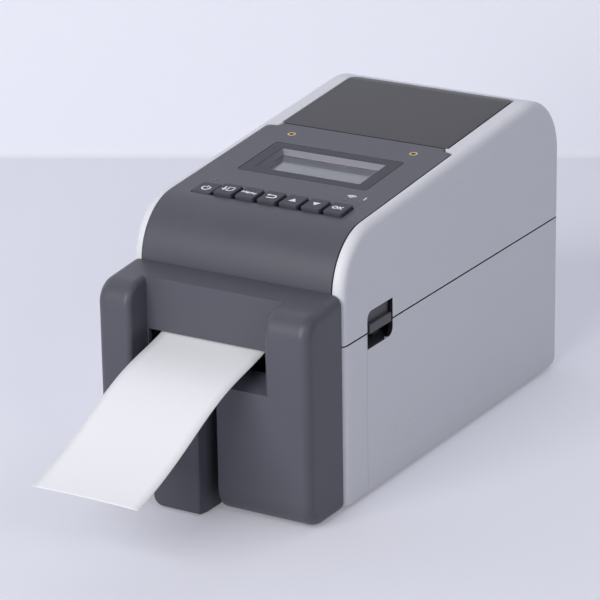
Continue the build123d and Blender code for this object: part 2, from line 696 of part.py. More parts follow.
with BuildPart() as media_tub:
    deck_half = HALF_W - WALL - DECK_GAP
    block((-deck_half, deck_half), (DECK_FRONT_Y, DECK_REAR_Y), (DECK_Z - TUB_T, DECK_Z))
    extrude(well_sketch(WELL_R + TUB_T, WELL_X[0] - TUB_T), amount=WELL_X[1] - WELL_X[0] + 2 * TUB_T)
    extrude(well_sketch(WELL_R, WELL_X[0]), amount=WELL_X[1] - WELL_X[0], mode=Mode.SUBTRACT)
    block(WELL_X, (ROLL_Y - WELL_R, ROLL_Y + WELL_R), (DECK_Z - 2 * TUB_T, DECK_Z + CUT), Mode.SUBTRACT)
    # slots for the guides' stems, gear clearance, hook notches and catches
    for side in (-1, 1):
        stem = side_pair(GUIDE_IN - GUIDE_GAP, GUIDE_IN + GUIDE_T + GUIDE_TRAVEL + GUIDE_GAP, side)
        slot = (MEDIA_X + stem[0], MEDIA_X + stem[1])
        slot_y = STEM_W / 2 + GUIDE_GAP
        block(slot, (ROLL_Y - slot_y, ROLL_Y + slot_y), (0, ROLL_Z / 2), Mode.SUBTRACT)
        catch_y = (POCKET_Y[1] - LEVER_END - HOOK_W, POCKET_Y[1] - LEVER_END)
        hook_in = HALF_W - LEVER_IN - LEVER_T - HOOK_BACK - NOSE_L
        catch_z = POCKET_Z[0] + 2 * LEVER_GAP + NOSE_T + CATCH_GAP
        catch_x = side_pair(hook_in - CATCH_GAP - 2 * CATCH_T, hook_in - CATCH_GAP, side)
        post_x = side_pair(hook_in - CATCH_GAP - 2 * CATCH_T, hook_in - CATCH_GAP - CATCH_T, side)
        block(post_x, catch_y, (DECK_Z - TUB_T, catch_z + CATCH_T))
        block(catch_x, catch_y, (catch_z, catch_z + CATCH_T))
    idler_reach_y = IDLER_Y + GEAR_MODULE * (IDLER_TEETH / 2 + 2)
    gear_bay = (FRAME_X[1], GEAR_X + GEAR_W + 2 * CUT)
    block(gear_bay, (DECK_FRONT_Y - CUT, idler_reach_y), (DECK_Z - 2 * TUB_T, DECK_Z + CUT), Mode.SUBTRACT)
save(media_tub, "media_tub")

with BuildPart() as media_sensor:
    block(SENSOR_X, SENSOR_Y, (DECK_Z, DECK_Z + SENSOR_H))
    chamfer(media_sensor.faces().sort_by(Axis.Z)[-1].edges().filter_by(Axis.X), SENSOR_H / 4)
save(media_sensor, "media_sensor")


def media_guide(side):
    """Roll guide: a disc on a stem that stands on its rack."""
    plate = [MEDIA_X + x for x in side_pair(GUIDE_IN, GUIDE_IN + GUIDE_T, side)]
    with BuildPart() as guide:
        rod(GUIDE_R, plate, ROLL_Y, ROLL_Z)
        block(plate, (ROLL_Y - STEM_W / 2, ROLL_Y + STEM_W / 2), (RACK_Z[1], ROLL_Z))
    return guide


def roll_hub(side):
    """Plug on the guide's inner face that carries one end of the roll's core."""
    plug = [MEDIA_X + x for x in side_pair(GUIDE_IN - HUB_L, GUIDE_IN, side)]
    with BuildPart() as hub:
        rod(CORE_R - HUB_GAP, plug, ROLL_Y, ROLL_Z)
        chamfer(hub.edges().filter_by(GeomType.CIRCLE).sort_by(Axis.X)[0 if side > 0 else -1], HUB_CHAMFER)
    return hub


def guide_rack(side):
    """Rack under the guide's stem: a bar behind the pitch line with straight-sided teeth to the pinion."""
    pitch_y = ROLL_Y + side * GUIDE_MODULE * GUIDE_TEETH / 2
    root_y = pitch_y + side * DEDENDUM * GUIDE_MODULE
    tip_y = pitch_y - side * ADDENDUM * GUIDE_MODULE
    slant = tan(PRESSURE) * GUIDE_MODULE
    tooth_half = GUIDE_MODULE * pi / 4 - BACKLASH / 2
    root_half, tip_half = tooth_half + slant * DEDENDUM, tooth_half - slant * ADDENDUM
    ends = side_pair(-2 * GUIDE_MODULE * pi - GUIDE_TRAVEL, GUIDE_IN + GUIDE_T, side)
    with BuildPart() as rack:
        block([MEDIA_X + x for x in ends], sorted((root_y, root_y + side * RACK_BACK)), RACK_Z)
        with BuildSketch(Plane.XY.offset(RACK_Z[0])):
            with BuildLine():
                Polyline(
                    (-root_half, root_y + side * CUT),
                    (root_half, root_y + side * CUT),
                    (root_half, root_y),
                    (tip_half, tip_y),
                    (-tip_half, tip_y),
                    (-root_half, root_y),
                    close=True,
                )
            rack_tooth = make_face(mode=Mode.PRIVATE)
            with Locations(*[(MEDIA_X + side * (k + 0.5) * pi * GUIDE_MODULE, 0) for k in range(-3, 2)]):
                add(rack_tooth)
        extrude(amount=RACK_Z[1] - RACK_Z[0])
    return rack


for side_name, side in (("left", -1), ("right", 1)):
    save(media_guide(side), f"media_guide_{side_name}")
    save(roll_hub(side), f"roll_hub_{side_name}")
    save(guide_rack(side), f"guide_rack_{side_name}")

with BuildPart() as guide_pinion:
    pinion_plane = Plane((MEDIA_X, ROLL_Y, RACK_Z[0]))
    extrude(gear_sketch(GUIDE_TEETH, GUIDE_MODULE, 90.0, pinion_plane), amount=RACK_Z[1] - RACK_Z[0])
    with Locations((MEDIA_X, ROLL_Y, RACK_Z[0])):
        Cylinder(POST_PINION_R + RUN_FIT, 4 * RACK_Z[1], mode=Mode.SUBTRACT)
save(guide_pinion, "guide_pinion")

# Print frame and drive

with BuildPart() as print_frame:
    for plate in ((FRAME_X[0], FRAME_IN[0]), (FRAME_IN[1], FRAME_X[1])):
        with BuildSketch(Plane.YZ.offset(plate[0])) as outline:
            with BuildLine():
                Polyline(
                    (FRAME_Y[0], BASE_TOP),
                    (FRAME_Y[1], BASE_TOP),
                    (FRAME_Y[1], FRAME_LOW),
                    (DECK_FRONT_Y - DECK_GAP, FRAME_LOW),
                    (DECK_FRONT_Y - DECK_GAP, FRAME_TOP),
                    (FRAME_Y[0], FRAME_TOP),
                    close=True,
                )
            make_face()
            fillet(outline.vertices().group_by(Axis.Y)[-1], BUSH_R)
            with Locations((PLATEN_Y, PLATEN_Z)):
                Circle(BUSH_R, mode=Mode.SUBTRACT)
        extrude(amount=FRAME_T)
    block(FRAME_X, FRAME_Y, (BASE_TOP, BASE_TOP + FRAME_T))
    rod(IDLER_PIN_R, (FRAME_IN[1] - CUT, FRAME_X[1] + CUT), IDLER_Y, IDLER_Z, Mode.SUBTRACT)
    rod(MOTOR_BOSS_R, (FRAME_IN[1] - CUT, FRAME_X[1] + CUT), MOTOR_Y, MOTOR_Z, Mode.SUBTRACT)
    with Locations(*[(x, y, BASE_TOP) for x, y in SCREW_XY]):
        Cylinder(SCREW_R, 4 * FRAME_T, mode=Mode.SUBTRACT)
save(print_frame, "print_frame")

with BuildPart() as case_screws:
    with Locations(*[(x, y, CASE_Z0) for x, y in SCREW_XY]):
        Cylinder(SCREW_HEAD_R, SCREW_HEAD_T, align=(Align.CENTER, Align.CENTER, Align.MAX))
        Cylinder(SCREW_R, BASE_TOP + 2 * FRAME_T - CASE_Z0, align=(Align.CENTER, Align.CENTER, Align.MIN))
save(case_screws, "case_screws")

with BuildPart() as platen_bushes:
    for plate, outside in (((FRAME_X[0], FRAME_IN[0]), -1), ((FRAME_IN[1], FRAME_X[1]), 1)):
        rod(BUSH_R, plate, PLATEN_Y, PLATEN_Z)
        flange = sorted((plate[outside > 0], plate[outside > 0] + outside * BUSH_FLANGE_T))
        rod(BUSH_FLANGE_R, flange, PLATEN_Y, PLATEN_Z)
    rod(SHAFT_R + RUN_FIT, (FRAME_X[0] - 2 * CUT, FRAME_X[1] + 2 * CUT), PLATEN_Y, PLATEN_Z, Mode.SUBTRACT)
save(platen_bushes, "platen_bushes")

with BuildPart() as platen_shaft:
    rod(SHAFT_R, (FRAME_X[0] - WALL, GEAR_X + GEAR_W), PLATEN_Y, PLATEN_Z)
save(platen_shaft, "platen_shaft")

with BuildPart() as platen_rubber:
    rod(PLATEN_R, (MEDIA_X - PLATEN_L / 2, MEDIA_X + PLATEN_L / 2), PLATEN_Y, PLATEN_Z)
    rod(SHAFT_R, FRAME_X, PLATEN_Y, PLATEN_Z, Mode.SUBTRACT)
save(platen_rubber, "platen_rubber")

with BuildPart() as platen_gear:
    with BuildSketch(gear_plane):
        with Locations((PLATEN_Y, PLATEN_Z)):
            add(gear_sketch(PLATEN_TEETH, GEAR_MODULE, IDLER_ANGLE, Plane.XY))
            Circle(SHAFT_R, mode=Mode.SUBTRACT)
    extrude(amount=GEAR_W)
save(platen_gear, "platen_gear")

with BuildPart() as idler_gear:
    with BuildSketch(gear_plane):
        with Locations((IDLER_Y, IDLER_Z)):
            add(gear_sketch(IDLER_TEETH, GEAR_MODULE, idler_tooth, Plane.XY))
            Circle(IDLER_PIN_R + RUN_FIT, mode=Mode.SUBTRACT)
    extrude(amount=GEAR_W)
save(idler_gear, "idler_gear")

with BuildPart() as idler_pin:
    head_x = GEAR_X + GEAR_W + PIN_END_GAP
    rod(IDLER_PIN_R, (FRAME_IN[1], head_x), IDLER_Y, IDLER_Z)
    rod(2 * IDLER_PIN_R, (head_x, head_x + CUT), IDLER_Y, IDLER_Z)
    rod(2 * IDLER_PIN_R, (FRAME_X[1], GEAR_X - PIN_END_GAP), IDLER_Y, IDLER_Z)
save(idler_pin, "idler_pin")

with BuildPart() as drive_motor:
    rod(MOTOR_R, (FRAME_IN[1] - MOTOR_L, FRAME_IN[1]), MOTOR_Y, MOTOR_Z)
    chamfer(drive_motor.edges().filter_by(GeomType.CIRCLE).sort_by(Axis.X)[0], WALL)
    rod(MOTOR_BOSS_R, (FRAME_IN[1], FRAME_X[1]), MOTOR_Y, MOTOR_Z)
    rod(MOTOR_SHAFT_R + RUN_FIT, (FRAME_IN[1] - MOTOR_L / 2, FRAME_X[1] + CUT), MOTOR_Y, MOTOR_Z, Mode.SUBTRACT)
save(drive_motor, "drive_motor")

with BuildPart() as motor_pinion:
    with BuildSketch(gear_plane):
        with Locations((MOTOR_Y, MOTOR_Z)):
            add(gear_sketch(PINION_TEETH, GEAR_MODULE, pinion_angle + 180.0 + 180.0 / PINION_TEETH, Plane.XY))
    extrude(amount=GEAR_W)
    rod(MOTOR_SHAFT_R, (FRAME_IN[1] - MOTOR_L / 2 + CUT, GEAR_X + GEAR_W), MOTOR_Y, MOTOR_Z)
save(motor_pinion, "motor_pinion")

with BuildPart() as peel_bar:
    bar_y = PLATEN_Y - BAR_LEAD
    bar_z = nip[1] + (bar_y - BAR_D - nip[0]) * web_n[0] / -web_n[1] - BAR_GAP
    block(FRAME_IN, (bar_y - BAR_D, bar_y), (bar_z - BAR_D, bar_z))
    chamfer(peel_bar.edges().filter_by(Axis.X).group_by(Axis.Z)[-1], BAR_D / 5)
save(peel_bar, "peel_bar")

# Main board and ports

with BuildPart() as main_board:
    block((-MAIN_X, MAIN_X), (MAIN_Y, MAIN_Y + BOARD_T), MAIN_Z)
save(main_board, "main_board")

for port, (port_x, port_w, port_h, pin_r) in PORTS.items():
    with BuildPart() as socket:
        port_y = (MAIN_Y + BOARD_T, REAR_Y + PORT_PROUD)
        block((port_x - port_w / 2, port_x + port_w / 2), port_y, (PORT_Z - port_h / 2, PORT_Z + port_h / 2))
        with BuildSketch(Plane.XZ.offset(-port_y[1])):
            with Locations((port_x, PORT_Z)):
                if pin_r:
                    Circle(pin_r)
                    Circle(pin_r / 3, mode=Mode.SUBTRACT)
                else:
                    Rectangle(port_w - WALL, port_h - WALL)
        extrude(amount=port_y[1] - port_y[0] - WALL, mode=Mode.SUBTRACT)
    save(socket, port)

# Lid


def cover_outline(grow):
    """Plan of the control cover: full width up to its shoulders, narrower where it meets the window."""
    half, rear_half = COVER_W / 2 + grow, COVER_REAR_W / 2 + grow
    front = LID_FRONT_Y - 2 * CUT
    with BuildSketch(Plane.XY.offset(COVER_Z0)) as plan:
        with BuildLine():
            Polyline(
                (-half, front),
                (half, front),
                (half, SHOULDER_Y + grow),
                (rear_half, SHOULDER_Y + grow),
                (rear_half, COVER_REAR_Y),
                (-rear_half, COVER_REAR_Y),
                (-rear_half, SHOULDER_Y + grow),
                (-half, SHOULDER_Y + grow),
                close=True,
            )
        make_face()
        fillet(plan.vertices().group_by(Axis.Y)[1], COVER_CORNER_R)
    return plan.sketch


def window_outline(grow):
    """Plan of the window panel, with rounded rear corners."""
    half = WINDOW_W / 2 + grow
    with BuildSketch(Plane.XY.offset(LID_Z0 + CUT)) as plan:
        with BuildLine():
            Polyline(
                (-half, WINDOW_Y[0]),
                (half, WINDOW_Y[0]),
                (half, WINDOW_Y[1] + grow),
                (-half, WINDOW_Y[1] + grow),
                close=True,
            )
        make_face()
        fillet(plan.vertices().group_by(Axis.Y)[-1], WINDOW_CORNER_R)
    return plan.sketch


LID_HIGH = TOP_Z + CASE_D


def cover_seat():
    """Ledge inside the lid under the edges of the control cover and the window."""
    with BuildPart() as seat:
        add(lid_block(WALL))
        add(lid_block(WALL + LEDGE_T, WALL), mode=Mode.SUBTRACT)
        outer = HALF_W - WALL
        block((-outer, outer), (LID_FRONT_Y, WINDOW_Y[1] + LEDGE_W), (LID_Z0 + CUT, LID_HIGH), Mode.INTERSECT)
        hole = COVER_W / 2 - LEDGE_W
        block((-hole, hole), (LID_FRONT_Y - CUT, SHOULDER_Y - LEDGE_W / 2), (LID_Z0, LID_HIGH), Mode.SUBTRACT)
        hole = WINDOW_W / 2 - LEDGE_W
        block((-hole, hole), (WINDOW_Y[0] + LEDGE_W, WINDOW_Y[1] - LEDGE_W), (LID_Z0, LID_HIGH), Mode.SUBTRACT)
    return seat.part


with BuildPart() as cover_skin:
    add(lid_block(0))
    add(lid_block(WALL), mode=Mode.SUBTRACT)

with BuildPart() as upper_shell:
    add(cover_skin.part)
    extrude(cover_outline(COVER_GAP), amount=LID_HIGH, mode=Mode.SUBTRACT)
    block(
        (-COVER_W / 2 - COVER_GAP, COVER_W / 2 + COVER_GAP),
        (LID_FRONT_Y - CUT, LID_FRONT_Y + WALL + CUT),
        (LID_Z0 - CUT, COVER_Z0 + CUT),
        Mode.SUBTRACT,
    )
    extrude(window_outline(COVER_GAP), amount=LID_HIGH, mode=Mode.SUBTRACT)
    block(
        (-COVER_REAR_W / 2, COVER_REAR_W / 2),
        (COVER_REAR_Y - CUT, WINDOW_Y[0] + CUT),
        (LID_Z0 + CUT, LID_HIGH),
        Mode.SUBTRACT,
    )
    add(cover_seat())
    # hinge: notches for the ears, lugs beside them, and the raised rear edge
    for side in (-1, 1):
        notch = EAR_W / 2 + EAR_GAP
        middle = side * EAR_X
        for lug in ((middle - notch - LUG_W, middle - notch), (middle + notch, middle + notch + LUG_W)):
            rod(KNUCKLE_R, lug, HINGE_Y, HINGE_Z)
        ear_top = HINGE_Z + KNUCKLE_R + EAR_GAP
        ear_y = (HINGE_Y - 2 * KNUCKLE_R, REAR_Y + CUT)
        block((middle - notch, middle + notch), ear_y, (LID_Z0 - CUT, ear_top), Mode.SUBTRACT)
        bore = (middle - notch - LUG_W - CUT, middle + notch + LUG_W + CUT)
        rod(PIN_R + RUN_FIT, bore, HINGE_Y, HINGE_Z, Mode.SUBTRACT)
    block((-HALF_W, HALF_W), (HINGE_Y, REAR_Y + CUT), (LID_Z0 - CUT, LID_Z0 + REAR_RELIEF), Mode.SUBTRACT)
    # lever pockets with pivot lugs at both ends
    for side in (-1, 1):
        for lug_y in (POCKET_Y[0] - LUG_T, POCKET_Y[1]):
            lug_x = side_pair(HALF_W - WALL - 2 * LUG_T, HALF_W - WALL / 2, side)
            block(lug_x, (lug_y, lug_y + LUG_T), (LEVER_AXIS_Z - LUG_T, LEVER_AXIS_Z + 2 * LUG_T))
        with BuildSketch(Plane.YZ.offset(side * HALF_W)) as pocket:
            with Locations(((POCKET_Y[0] + POCKET_Y[1]) / 2, (LID_Z0 - CUT + POCKET_Z[1]) / 2)):
                Rectangle(POCKET_Y[1] - POCKET_Y[0], POCKET_Z[1] - LID_Z0 + CUT)
            fillet(pocket.vertices().group_by(Axis.Y)[-1].sort_by(Axis.X)[0], POCKET_R)
        extrude(amount=WALL + CUT, both=True, mode=Mode.SUBTRACT)
        axis_x = side * (HALF_W - WALL - LUG_T)
        pin_span = POCKET_Y[1] - POCKET_Y[0] + 2 * LUG_T + 2 * CUT
        with Locations(Location((axis_x, (POCKET_Y[0] + POCKET_Y[1]) / 2, LEVER_AXIS_Z), (90, 0, 0))):
            Cylinder(LEVER_PIN_R + RUN_FIT, pin_span, mode=Mode.SUBTRACT)
save(upper_shell, "upper_shell")


def release_lever(side):
    """Lid release: a plate in the lid's pocket on a pin along its top, with a finger tab and a hook below."""
    face = HALF_W - LEVER_IN
    back = face - LEVER_T
    low, high = LID_Z0 + LEVER_GAP, POCKET_Z[1] - LEVER_TOP_GAP
    ends = (POCKET_Y[0] + LEVER_GAP, POCKET_Y[1] - LEVER_END)
    middle = (ends[0] + ends[1]) / 2
    hook_y = (ends[1] - HOOK_W, ends[1])
    hook_z0 = POCKET_Z[0] + LEVER_GAP
    axis_x = HALF_W - WALL - LUG_T
    hook_x = back - HOOK_BACK
    with BuildPart() as lever:
        with BuildSketch(Plane.YZ.offset(side * face)) as outline:
            with Locations((middle, (low + high) / 2)):
                Rectangle(ends[1] - ends[0], high - low)
            fillet(outline.vertices().group_by(Axis.Y)[-1].sort_by(Axis.X)[0], POCKET_R - LEVER_GAP)
        extrude(amount=-side * LEVER_T)
        block(side_pair(back, HALF_W, side), (ends[0] + TAB_INSET, ends[1]), TAB_Z)
        fillet(lever.faces().sort_by(Axis.X)[-1 if side > 0 else 0].edges().filter_by(Axis.Y), TAB_EDGE_R)
        with Locations(Location((side * axis_x, middle, LEVER_AXIS_Z), (90, 0, 0))):
            Cylinder(LUG_T / 2 + LEVER_PIN_R / 2, ends[1] - ends[0])
        pin_y = (POCKET_Y[0] + POCKET_Y[1]) / 2
        with Locations(Location((side * axis_x, pin_y, LEVER_AXIS_Z), (90, 0, 0))):
            Cylinder(LEVER_PIN_R, POCKET_Y[1] - POCKET_Y[0] + 2 * LEVER_PIN_L)
        web = side_pair(axis_x, back, side)
        block(web, ends, (LEVER_AXIS_Z - LEVER_PIN_R, LEVER_AXIS_Z + LEVER_PIN_R))
        block(side_pair(hook_x, back, side), hook_y, (TAB_Z[1] - HOOK_T, TAB_Z[1]))
        block(side_pair(hook_x, hook_x + HOOK_T, side), hook_y, (hook_z0, TAB_Z[1]))
        block(side_pair(hook_x - NOSE_L, hook_x + HOOK_T, side), hook_y, (hook_z0, hook_z0 + NOSE_T))
    return lever


for side_name, side in (("left", -1), ("right", 1)):
    save(release_lever(side), f"release_lever_{side_name}")

with BuildPart() as hinge_pins:
    for side in (-1, 1):
        reach = EAR_W / 2 + EAR_GAP + LUG_W
        rod(PIN_R, (side * EAR_X - reach, side * EAR_X + reach), HINGE_Y, HINGE_Z)
save(hinge_pins, "hinge_pins")

with BuildPart() as control_cover:
    add(cover_skin.part)
    extrude(cover_outline(0), amount=LID_HIGH, mode=Mode.INTERSECT)
    # board posts and insert bosses under the skin
    with BuildSketch(panel.offset(-BOARD_DEEP)):
        with Locations(*POSTS):
            Circle(POST_R)
    extrude(amount=BOARD_DEEP - WALL / 2)
    with BuildSketch(panel.offset(-INSERT_L)):
        with Locations((-INSERT_X, INSERT_S), (INSERT_X, INSERT_S)):
            Circle(INSERT_R + BOSS_WALL)
    extrude(amount=INSERT_L - WALL / 2)
    # openings: key slot, display, lights and inserts
    with BuildSketch(panel.offset(CUT)):
        with Locations((0, KEY_S)):
            slot_w = (KEY_COUNT - 1) * KEY_PITCH + KEY_W + 2 * KEY_GAP
            RectangleRounded(slot_w, KEY_L + 2 * KEY_GAP, KEY_R)
        with Locations((0, BEZEL_S)):
            RectangleRounded(BEZEL_W, BEZEL_L, BEZEL_R)
        with Locations(*LIGHTS):
            Circle(LIGHT_R + LIGHT_GAP)
        with Locations((-INSERT_X, INSERT_S), (INSERT_X, INSERT_S)):
            Circle(INSERT_R)
    extrude(amount=-(INSERT_L + 2 * CUT), mode=Mode.SUBTRACT)
save(control_cover, "control_cover")

with BuildPart() as window_panel:
    add(cover_skin.part)
    extrude(window_outline(0), amount=LID_HIGH, mode=Mode.INTERSECT)
save(window_panel, "window_panel")

with BuildPart() as threaded_inserts:
    with BuildSketch(panel.offset(-INSERT_L)):
        with Locations((-INSERT_X, INSERT_S), (INSERT_X, INSERT_S)):
            Circle(INSERT_R)
            Circle(INSERT_BORE_R, mode=Mode.SUBTRACT)
    extrude(amount=INSERT_L)
save(threaded_inserts, "threaded_inserts")

with BuildPart() as status_lights:
    with BuildSketch(panel.offset(-BOARD_DEEP)):
        with Locations(*LIGHTS):
            Circle(LIGHT_R)
    extrude(amount=BOARD_DEEP + LIGHT_GAP)
save(status_lights, "status_lights")

with BuildPart() as panel_board:
    with BuildSketch(panel.offset(-BOARD_DEEP - BOARD_T)):
        with Locations((0, (BOARD_S[0] + BOARD_S[1]) / 2)):
            Rectangle(BOARD_W, BOARD_S[1] - BOARD_S[0])
    extrude(amount=BOARD_T)
save(panel_board, "panel_board")

with BuildPart() as display_bezel:
    with BuildSketch(panel.offset(-BEZEL_DEEP)):
        with Locations((0, BEZEL_S)):
            RectangleRounded(BEZEL_W - 2 * BEZEL_GAP, BEZEL_L - 2 * BEZEL_GAP, BEZEL_R - BEZEL_GAP)
    extrude(amount=BEZEL_DEEP)
    with BuildSketch(panel.offset(-BEZEL_DEEP)):
        with Locations((0, BEZEL_S)):
            RectangleRounded(BEZEL_W + 2 * BEZEL_FLANGE, BEZEL_L + 2 * BEZEL_FLANGE, BEZEL_R)
    extrude(amount=BEZEL_DEEP - WALL)
    # sloping sides down to the lens, which sits in a window of its own size
    with BuildSketch(panel):
        with Locations((0, BEZEL_S)):
            Rectangle(BEZEL_W - 2 * BEZEL_RIM, BEZEL_L - 2 * BEZEL_RIM)
    with BuildSketch(panel.offset(-LENS_DEEP)):
        with Locations((0, BEZEL_S)):
            Rectangle(LENS_W, LENS_L)
    loft(mode=Mode.SUBTRACT)
    with BuildSketch(panel.offset(-LENS_DEEP + LENS_GAP)):
        with Locations((0, BEZEL_S)):
            Rectangle(LENS_W, LENS_L)
    extrude(amount=-BEZEL_DEEP, mode=Mode.SUBTRACT)
save(display_bezel, "display_bezel")

with BuildPart() as display_lens:
    with BuildSketch(panel.offset(-LENS_DEEP - LENS_T)):
        with Locations((0, BEZEL_S)):
            Rectangle(LENS_W - 2 * LENS_GAP, LENS_L - 2 * LENS_GAP)
    extrude(amount=LENS_T)
save(display_lens, "display_lens")

with BuildPart() as lcd_module:
    with BuildSketch(panel.offset(-BOARD_DEEP)):
        with Locations((0, BEZEL_S)):
            Rectangle(LCD_W, LCD_L)
    extrude(amount=BOARD_DEEP - BEZEL_DEEP)
    with BuildSketch(panel.offset(-BEZEL_DEEP)):
        with Locations((0, BEZEL_S)):
            Rectangle(LENS_W - 4 * LENS_GAP, LENS_L - 4 * LENS_GAP)
    extrude(amount=BEZEL_DEEP - LENS_DEEP - LENS_T)
save(lcd_module, "lcd_module")

KEY_X = [(number - (KEY_COUNT - 1) / 2) * KEY_PITCH for number in range(KEY_COUNT)]
FLANGE_TOP = -WALL - KEY_GAP
PLUNGER_LOW = FLANGE_TOP - KEY_FLANGE_T - PLUNGER_L

with BuildPart() as key_mat:
    with BuildSketch(panel.offset(-BOARD_DEEP)):
        with Locations((0, KEY_S)):
            Rectangle(KEY_COUNT * KEY_PITCH, KEY_L)
    extrude(amount=MAT_T)
    with BuildSketch(panel.offset(-BOARD_DEEP)):
        with Locations(*[(x, KEY_S) for x in KEY_X]):
            Circle(DOME_R)
    extrude(amount=BOARD_DEEP + PLUNGER_LOW - KEY_TRAVEL - DOME_GAP, taper=10)
save(key_mat, "key_mat")


def key(x, rise):
    """Key cap with a retaining flange under the cover and a plunger above its rubber dome."""
    with BuildPart() as cap:
        with BuildSketch(panel.offset(FLANGE_TOP - KEY_FLANGE_T)):
            with Locations((x, KEY_S)):
                RectangleRounded(KEY_W, KEY_L, KEY_R)
        extrude(amount=rise - FLANGE_TOP + KEY_FLANGE_T)
        fillet(cap.faces().sort_by(Axis.Z)[-1].edges(), KEY_EDGE_R)
        with BuildSketch(panel.offset(FLANGE_TOP - KEY_FLANGE_T)):
            with Locations((x, KEY_S)):
                Rectangle(KEY_W, KEY_L + 2 * KEY_GAP + 2 * KEY_FLANGE)
        extrude(amount=KEY_FLANGE_T)
        with BuildSketch(panel.offset(PLUNGER_LOW)):
            with Locations((x, KEY_S)):
                Circle(PLUNGER_R)
        extrude(amount=PLUNGER_L)
    return cap


for number, key_name in enumerate(("power", "feed", "menu", "back", "up", "down", "enter")):
    save(key(KEY_X[number], KEY_FLUSH if key_name == "power" else KEY_RISE), f"{key_name}_key")

# Print head, hung from a beam across the lid

head_plane = Plane(
    origin=(MEDIA_X, *nip),
    x_dir=(1, 0, 0),
    z_dir=(0, *web_n),
).offset(WEB_T / 2 + HEAD_CLEAR)

with BuildPart() as head_ceramic:
    with BuildSketch(head_plane):
        with Locations((0, (HEAD_Y[0] + HEAD_Y[1]) / 2)):
            Rectangle(HEAD_W - 2 * HANGER_T, HEAD_Y[1] - HEAD_Y[0])
    extrude(amount=CERAMIC_T)
save(head_ceramic, "head_ceramic")

with BuildPart() as head_heatsink:
    with BuildSketch(head_plane.offset(CERAMIC_T)):
        with Locations((0, (HEAD_Y[0] + HEAD_Y[1]) / 2)):
            Rectangle(HEAD_W, HEAD_Y[1] - HEAD_Y[0])
    extrude(amount=HEATSINK_T)
save(head_heatsink, "head_heatsink")

with BuildPart() as head_carrier:
    beam_half = HALF_W - WALL
    with BuildSketch(Plane.YZ):
        with Locations((sum(BEAM_Y) / 2, sum(BEAM_Z) / 2)):
            Rectangle(BEAM_Y[1] - BEAM_Y[0], BEAM_Z[1] - BEAM_Z[0])
        with Locations((sum(BEAM_Y) / 2, sum(BEAM_Z) / 2 + BEAM_T)):
            Rectangle(BEAM_Y[1] - BEAM_Y[0] - 2 * BEAM_T, BEAM_Z[1] - BEAM_Z[0], mode=Mode.SUBTRACT)
    extrude(amount=beam_half, both=True)
    for hanger in (
        (MEDIA_X - HEAD_W / 2 - HANGER_T, MEDIA_X - HEAD_W / 2),
        (MEDIA_X + HEAD_W / 2, MEDIA_X + HEAD_W / 2 + HANGER_T),
    ):
        block(hanger, BEAM_Y, (nip[1] + HEATSINK_T / 2, BEAM_Z[0] + BEAM_T))
save(head_carrier, "head_carrier")

with BuildPart() as head_spring:
    spring_y = sum(BEAM_Y) / 2
    with BuildSketch(Plane.XZ.offset(-spring_y - SPRING_W / 2)):
        with BuildLine():
            crown = BEAM_Z[0] - SPRING_T
            ThreePointArc(
                (MEDIA_X - HEAD_W / 3, crown - SPRING_BOW),
                (MEDIA_X, crown),
                (MEDIA_X + HEAD_W / 3, crown - SPRING_BOW),
            )
            offset(amount=SPRING_T, side=Side.LEFT)
        make_face()
    extrude(amount=SPRING_W)
save(head_spring, "head_spring")
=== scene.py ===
"""Desktop label printer: finishes, key symbols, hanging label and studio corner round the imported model."""

import json

import bpy
import numpy as np
from mathutils import Matrix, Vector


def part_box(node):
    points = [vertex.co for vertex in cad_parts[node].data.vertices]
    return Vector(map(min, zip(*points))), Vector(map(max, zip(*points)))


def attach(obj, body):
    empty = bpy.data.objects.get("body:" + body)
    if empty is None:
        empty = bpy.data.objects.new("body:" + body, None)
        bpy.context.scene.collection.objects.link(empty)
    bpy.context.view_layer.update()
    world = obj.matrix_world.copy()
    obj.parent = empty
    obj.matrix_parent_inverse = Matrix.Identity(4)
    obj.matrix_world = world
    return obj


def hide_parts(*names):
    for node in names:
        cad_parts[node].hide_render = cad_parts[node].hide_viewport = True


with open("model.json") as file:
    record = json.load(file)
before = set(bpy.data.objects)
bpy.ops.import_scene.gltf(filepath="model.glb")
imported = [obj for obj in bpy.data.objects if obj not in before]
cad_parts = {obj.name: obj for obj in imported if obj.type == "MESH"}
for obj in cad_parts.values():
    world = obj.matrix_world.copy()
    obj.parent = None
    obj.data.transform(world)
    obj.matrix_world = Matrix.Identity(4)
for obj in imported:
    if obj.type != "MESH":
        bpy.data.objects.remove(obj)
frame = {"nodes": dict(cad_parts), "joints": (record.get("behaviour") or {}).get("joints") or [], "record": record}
nodes = frame["nodes"]
joints = {joint["name"]: joint for joint in frame["joints"]}
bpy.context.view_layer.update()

MM = 0.001
UP = np.array((0.0, 0.0, 1.0))

# The sloping top's own axes, and where it crosses the upright through the origin
PANEL_NORMAL = -np.array(joints["feed_press"]["axis"])
PANEL_ALONG = np.array((0.0, PANEL_NORMAL[2], -PANEL_NORMAL[1]))
PANEL_ACROSS = np.array((1.0, 0.0, 0.0))
TOP_Z = 142.96 * MM
PANEL_HEIGHT = TOP_Z * PANEL_NORMAL[2]
TOP_SKIN = 0.05 * MM  # points this near to a key's highest one belong to its top

# The label outside its slot, as (y, z) of its middle line, and how it leaves the print line
WEB_OUT = np.array([(-125.7, 79.7), (-157.6, 71.8), (-197.5, 54.5), (-233.8, 41.33)]) * MM
WEB_CLEAR = 0.3 * MM
WEB_LEAD = 6.0 * MM
WEB_END = np.radians(14.0)
WEB_THICK = 0.22 * MM
WEB_CAMBER = 0.5 * MM
WEB_ACROSS = 13
WEB_ALONG = 160
WEB_SIDE = 0.5  # a face that looks sideways more than this belongs to the label's cut edge

# Printed symbols: how far they stand proud, how far they reach down, and one unit of their drawings
PRINT_PROUD = 0.03 * MM
PRINT_SUNK = 0.05 * MM
SYMBOL_SCALE = 1.18 * MM

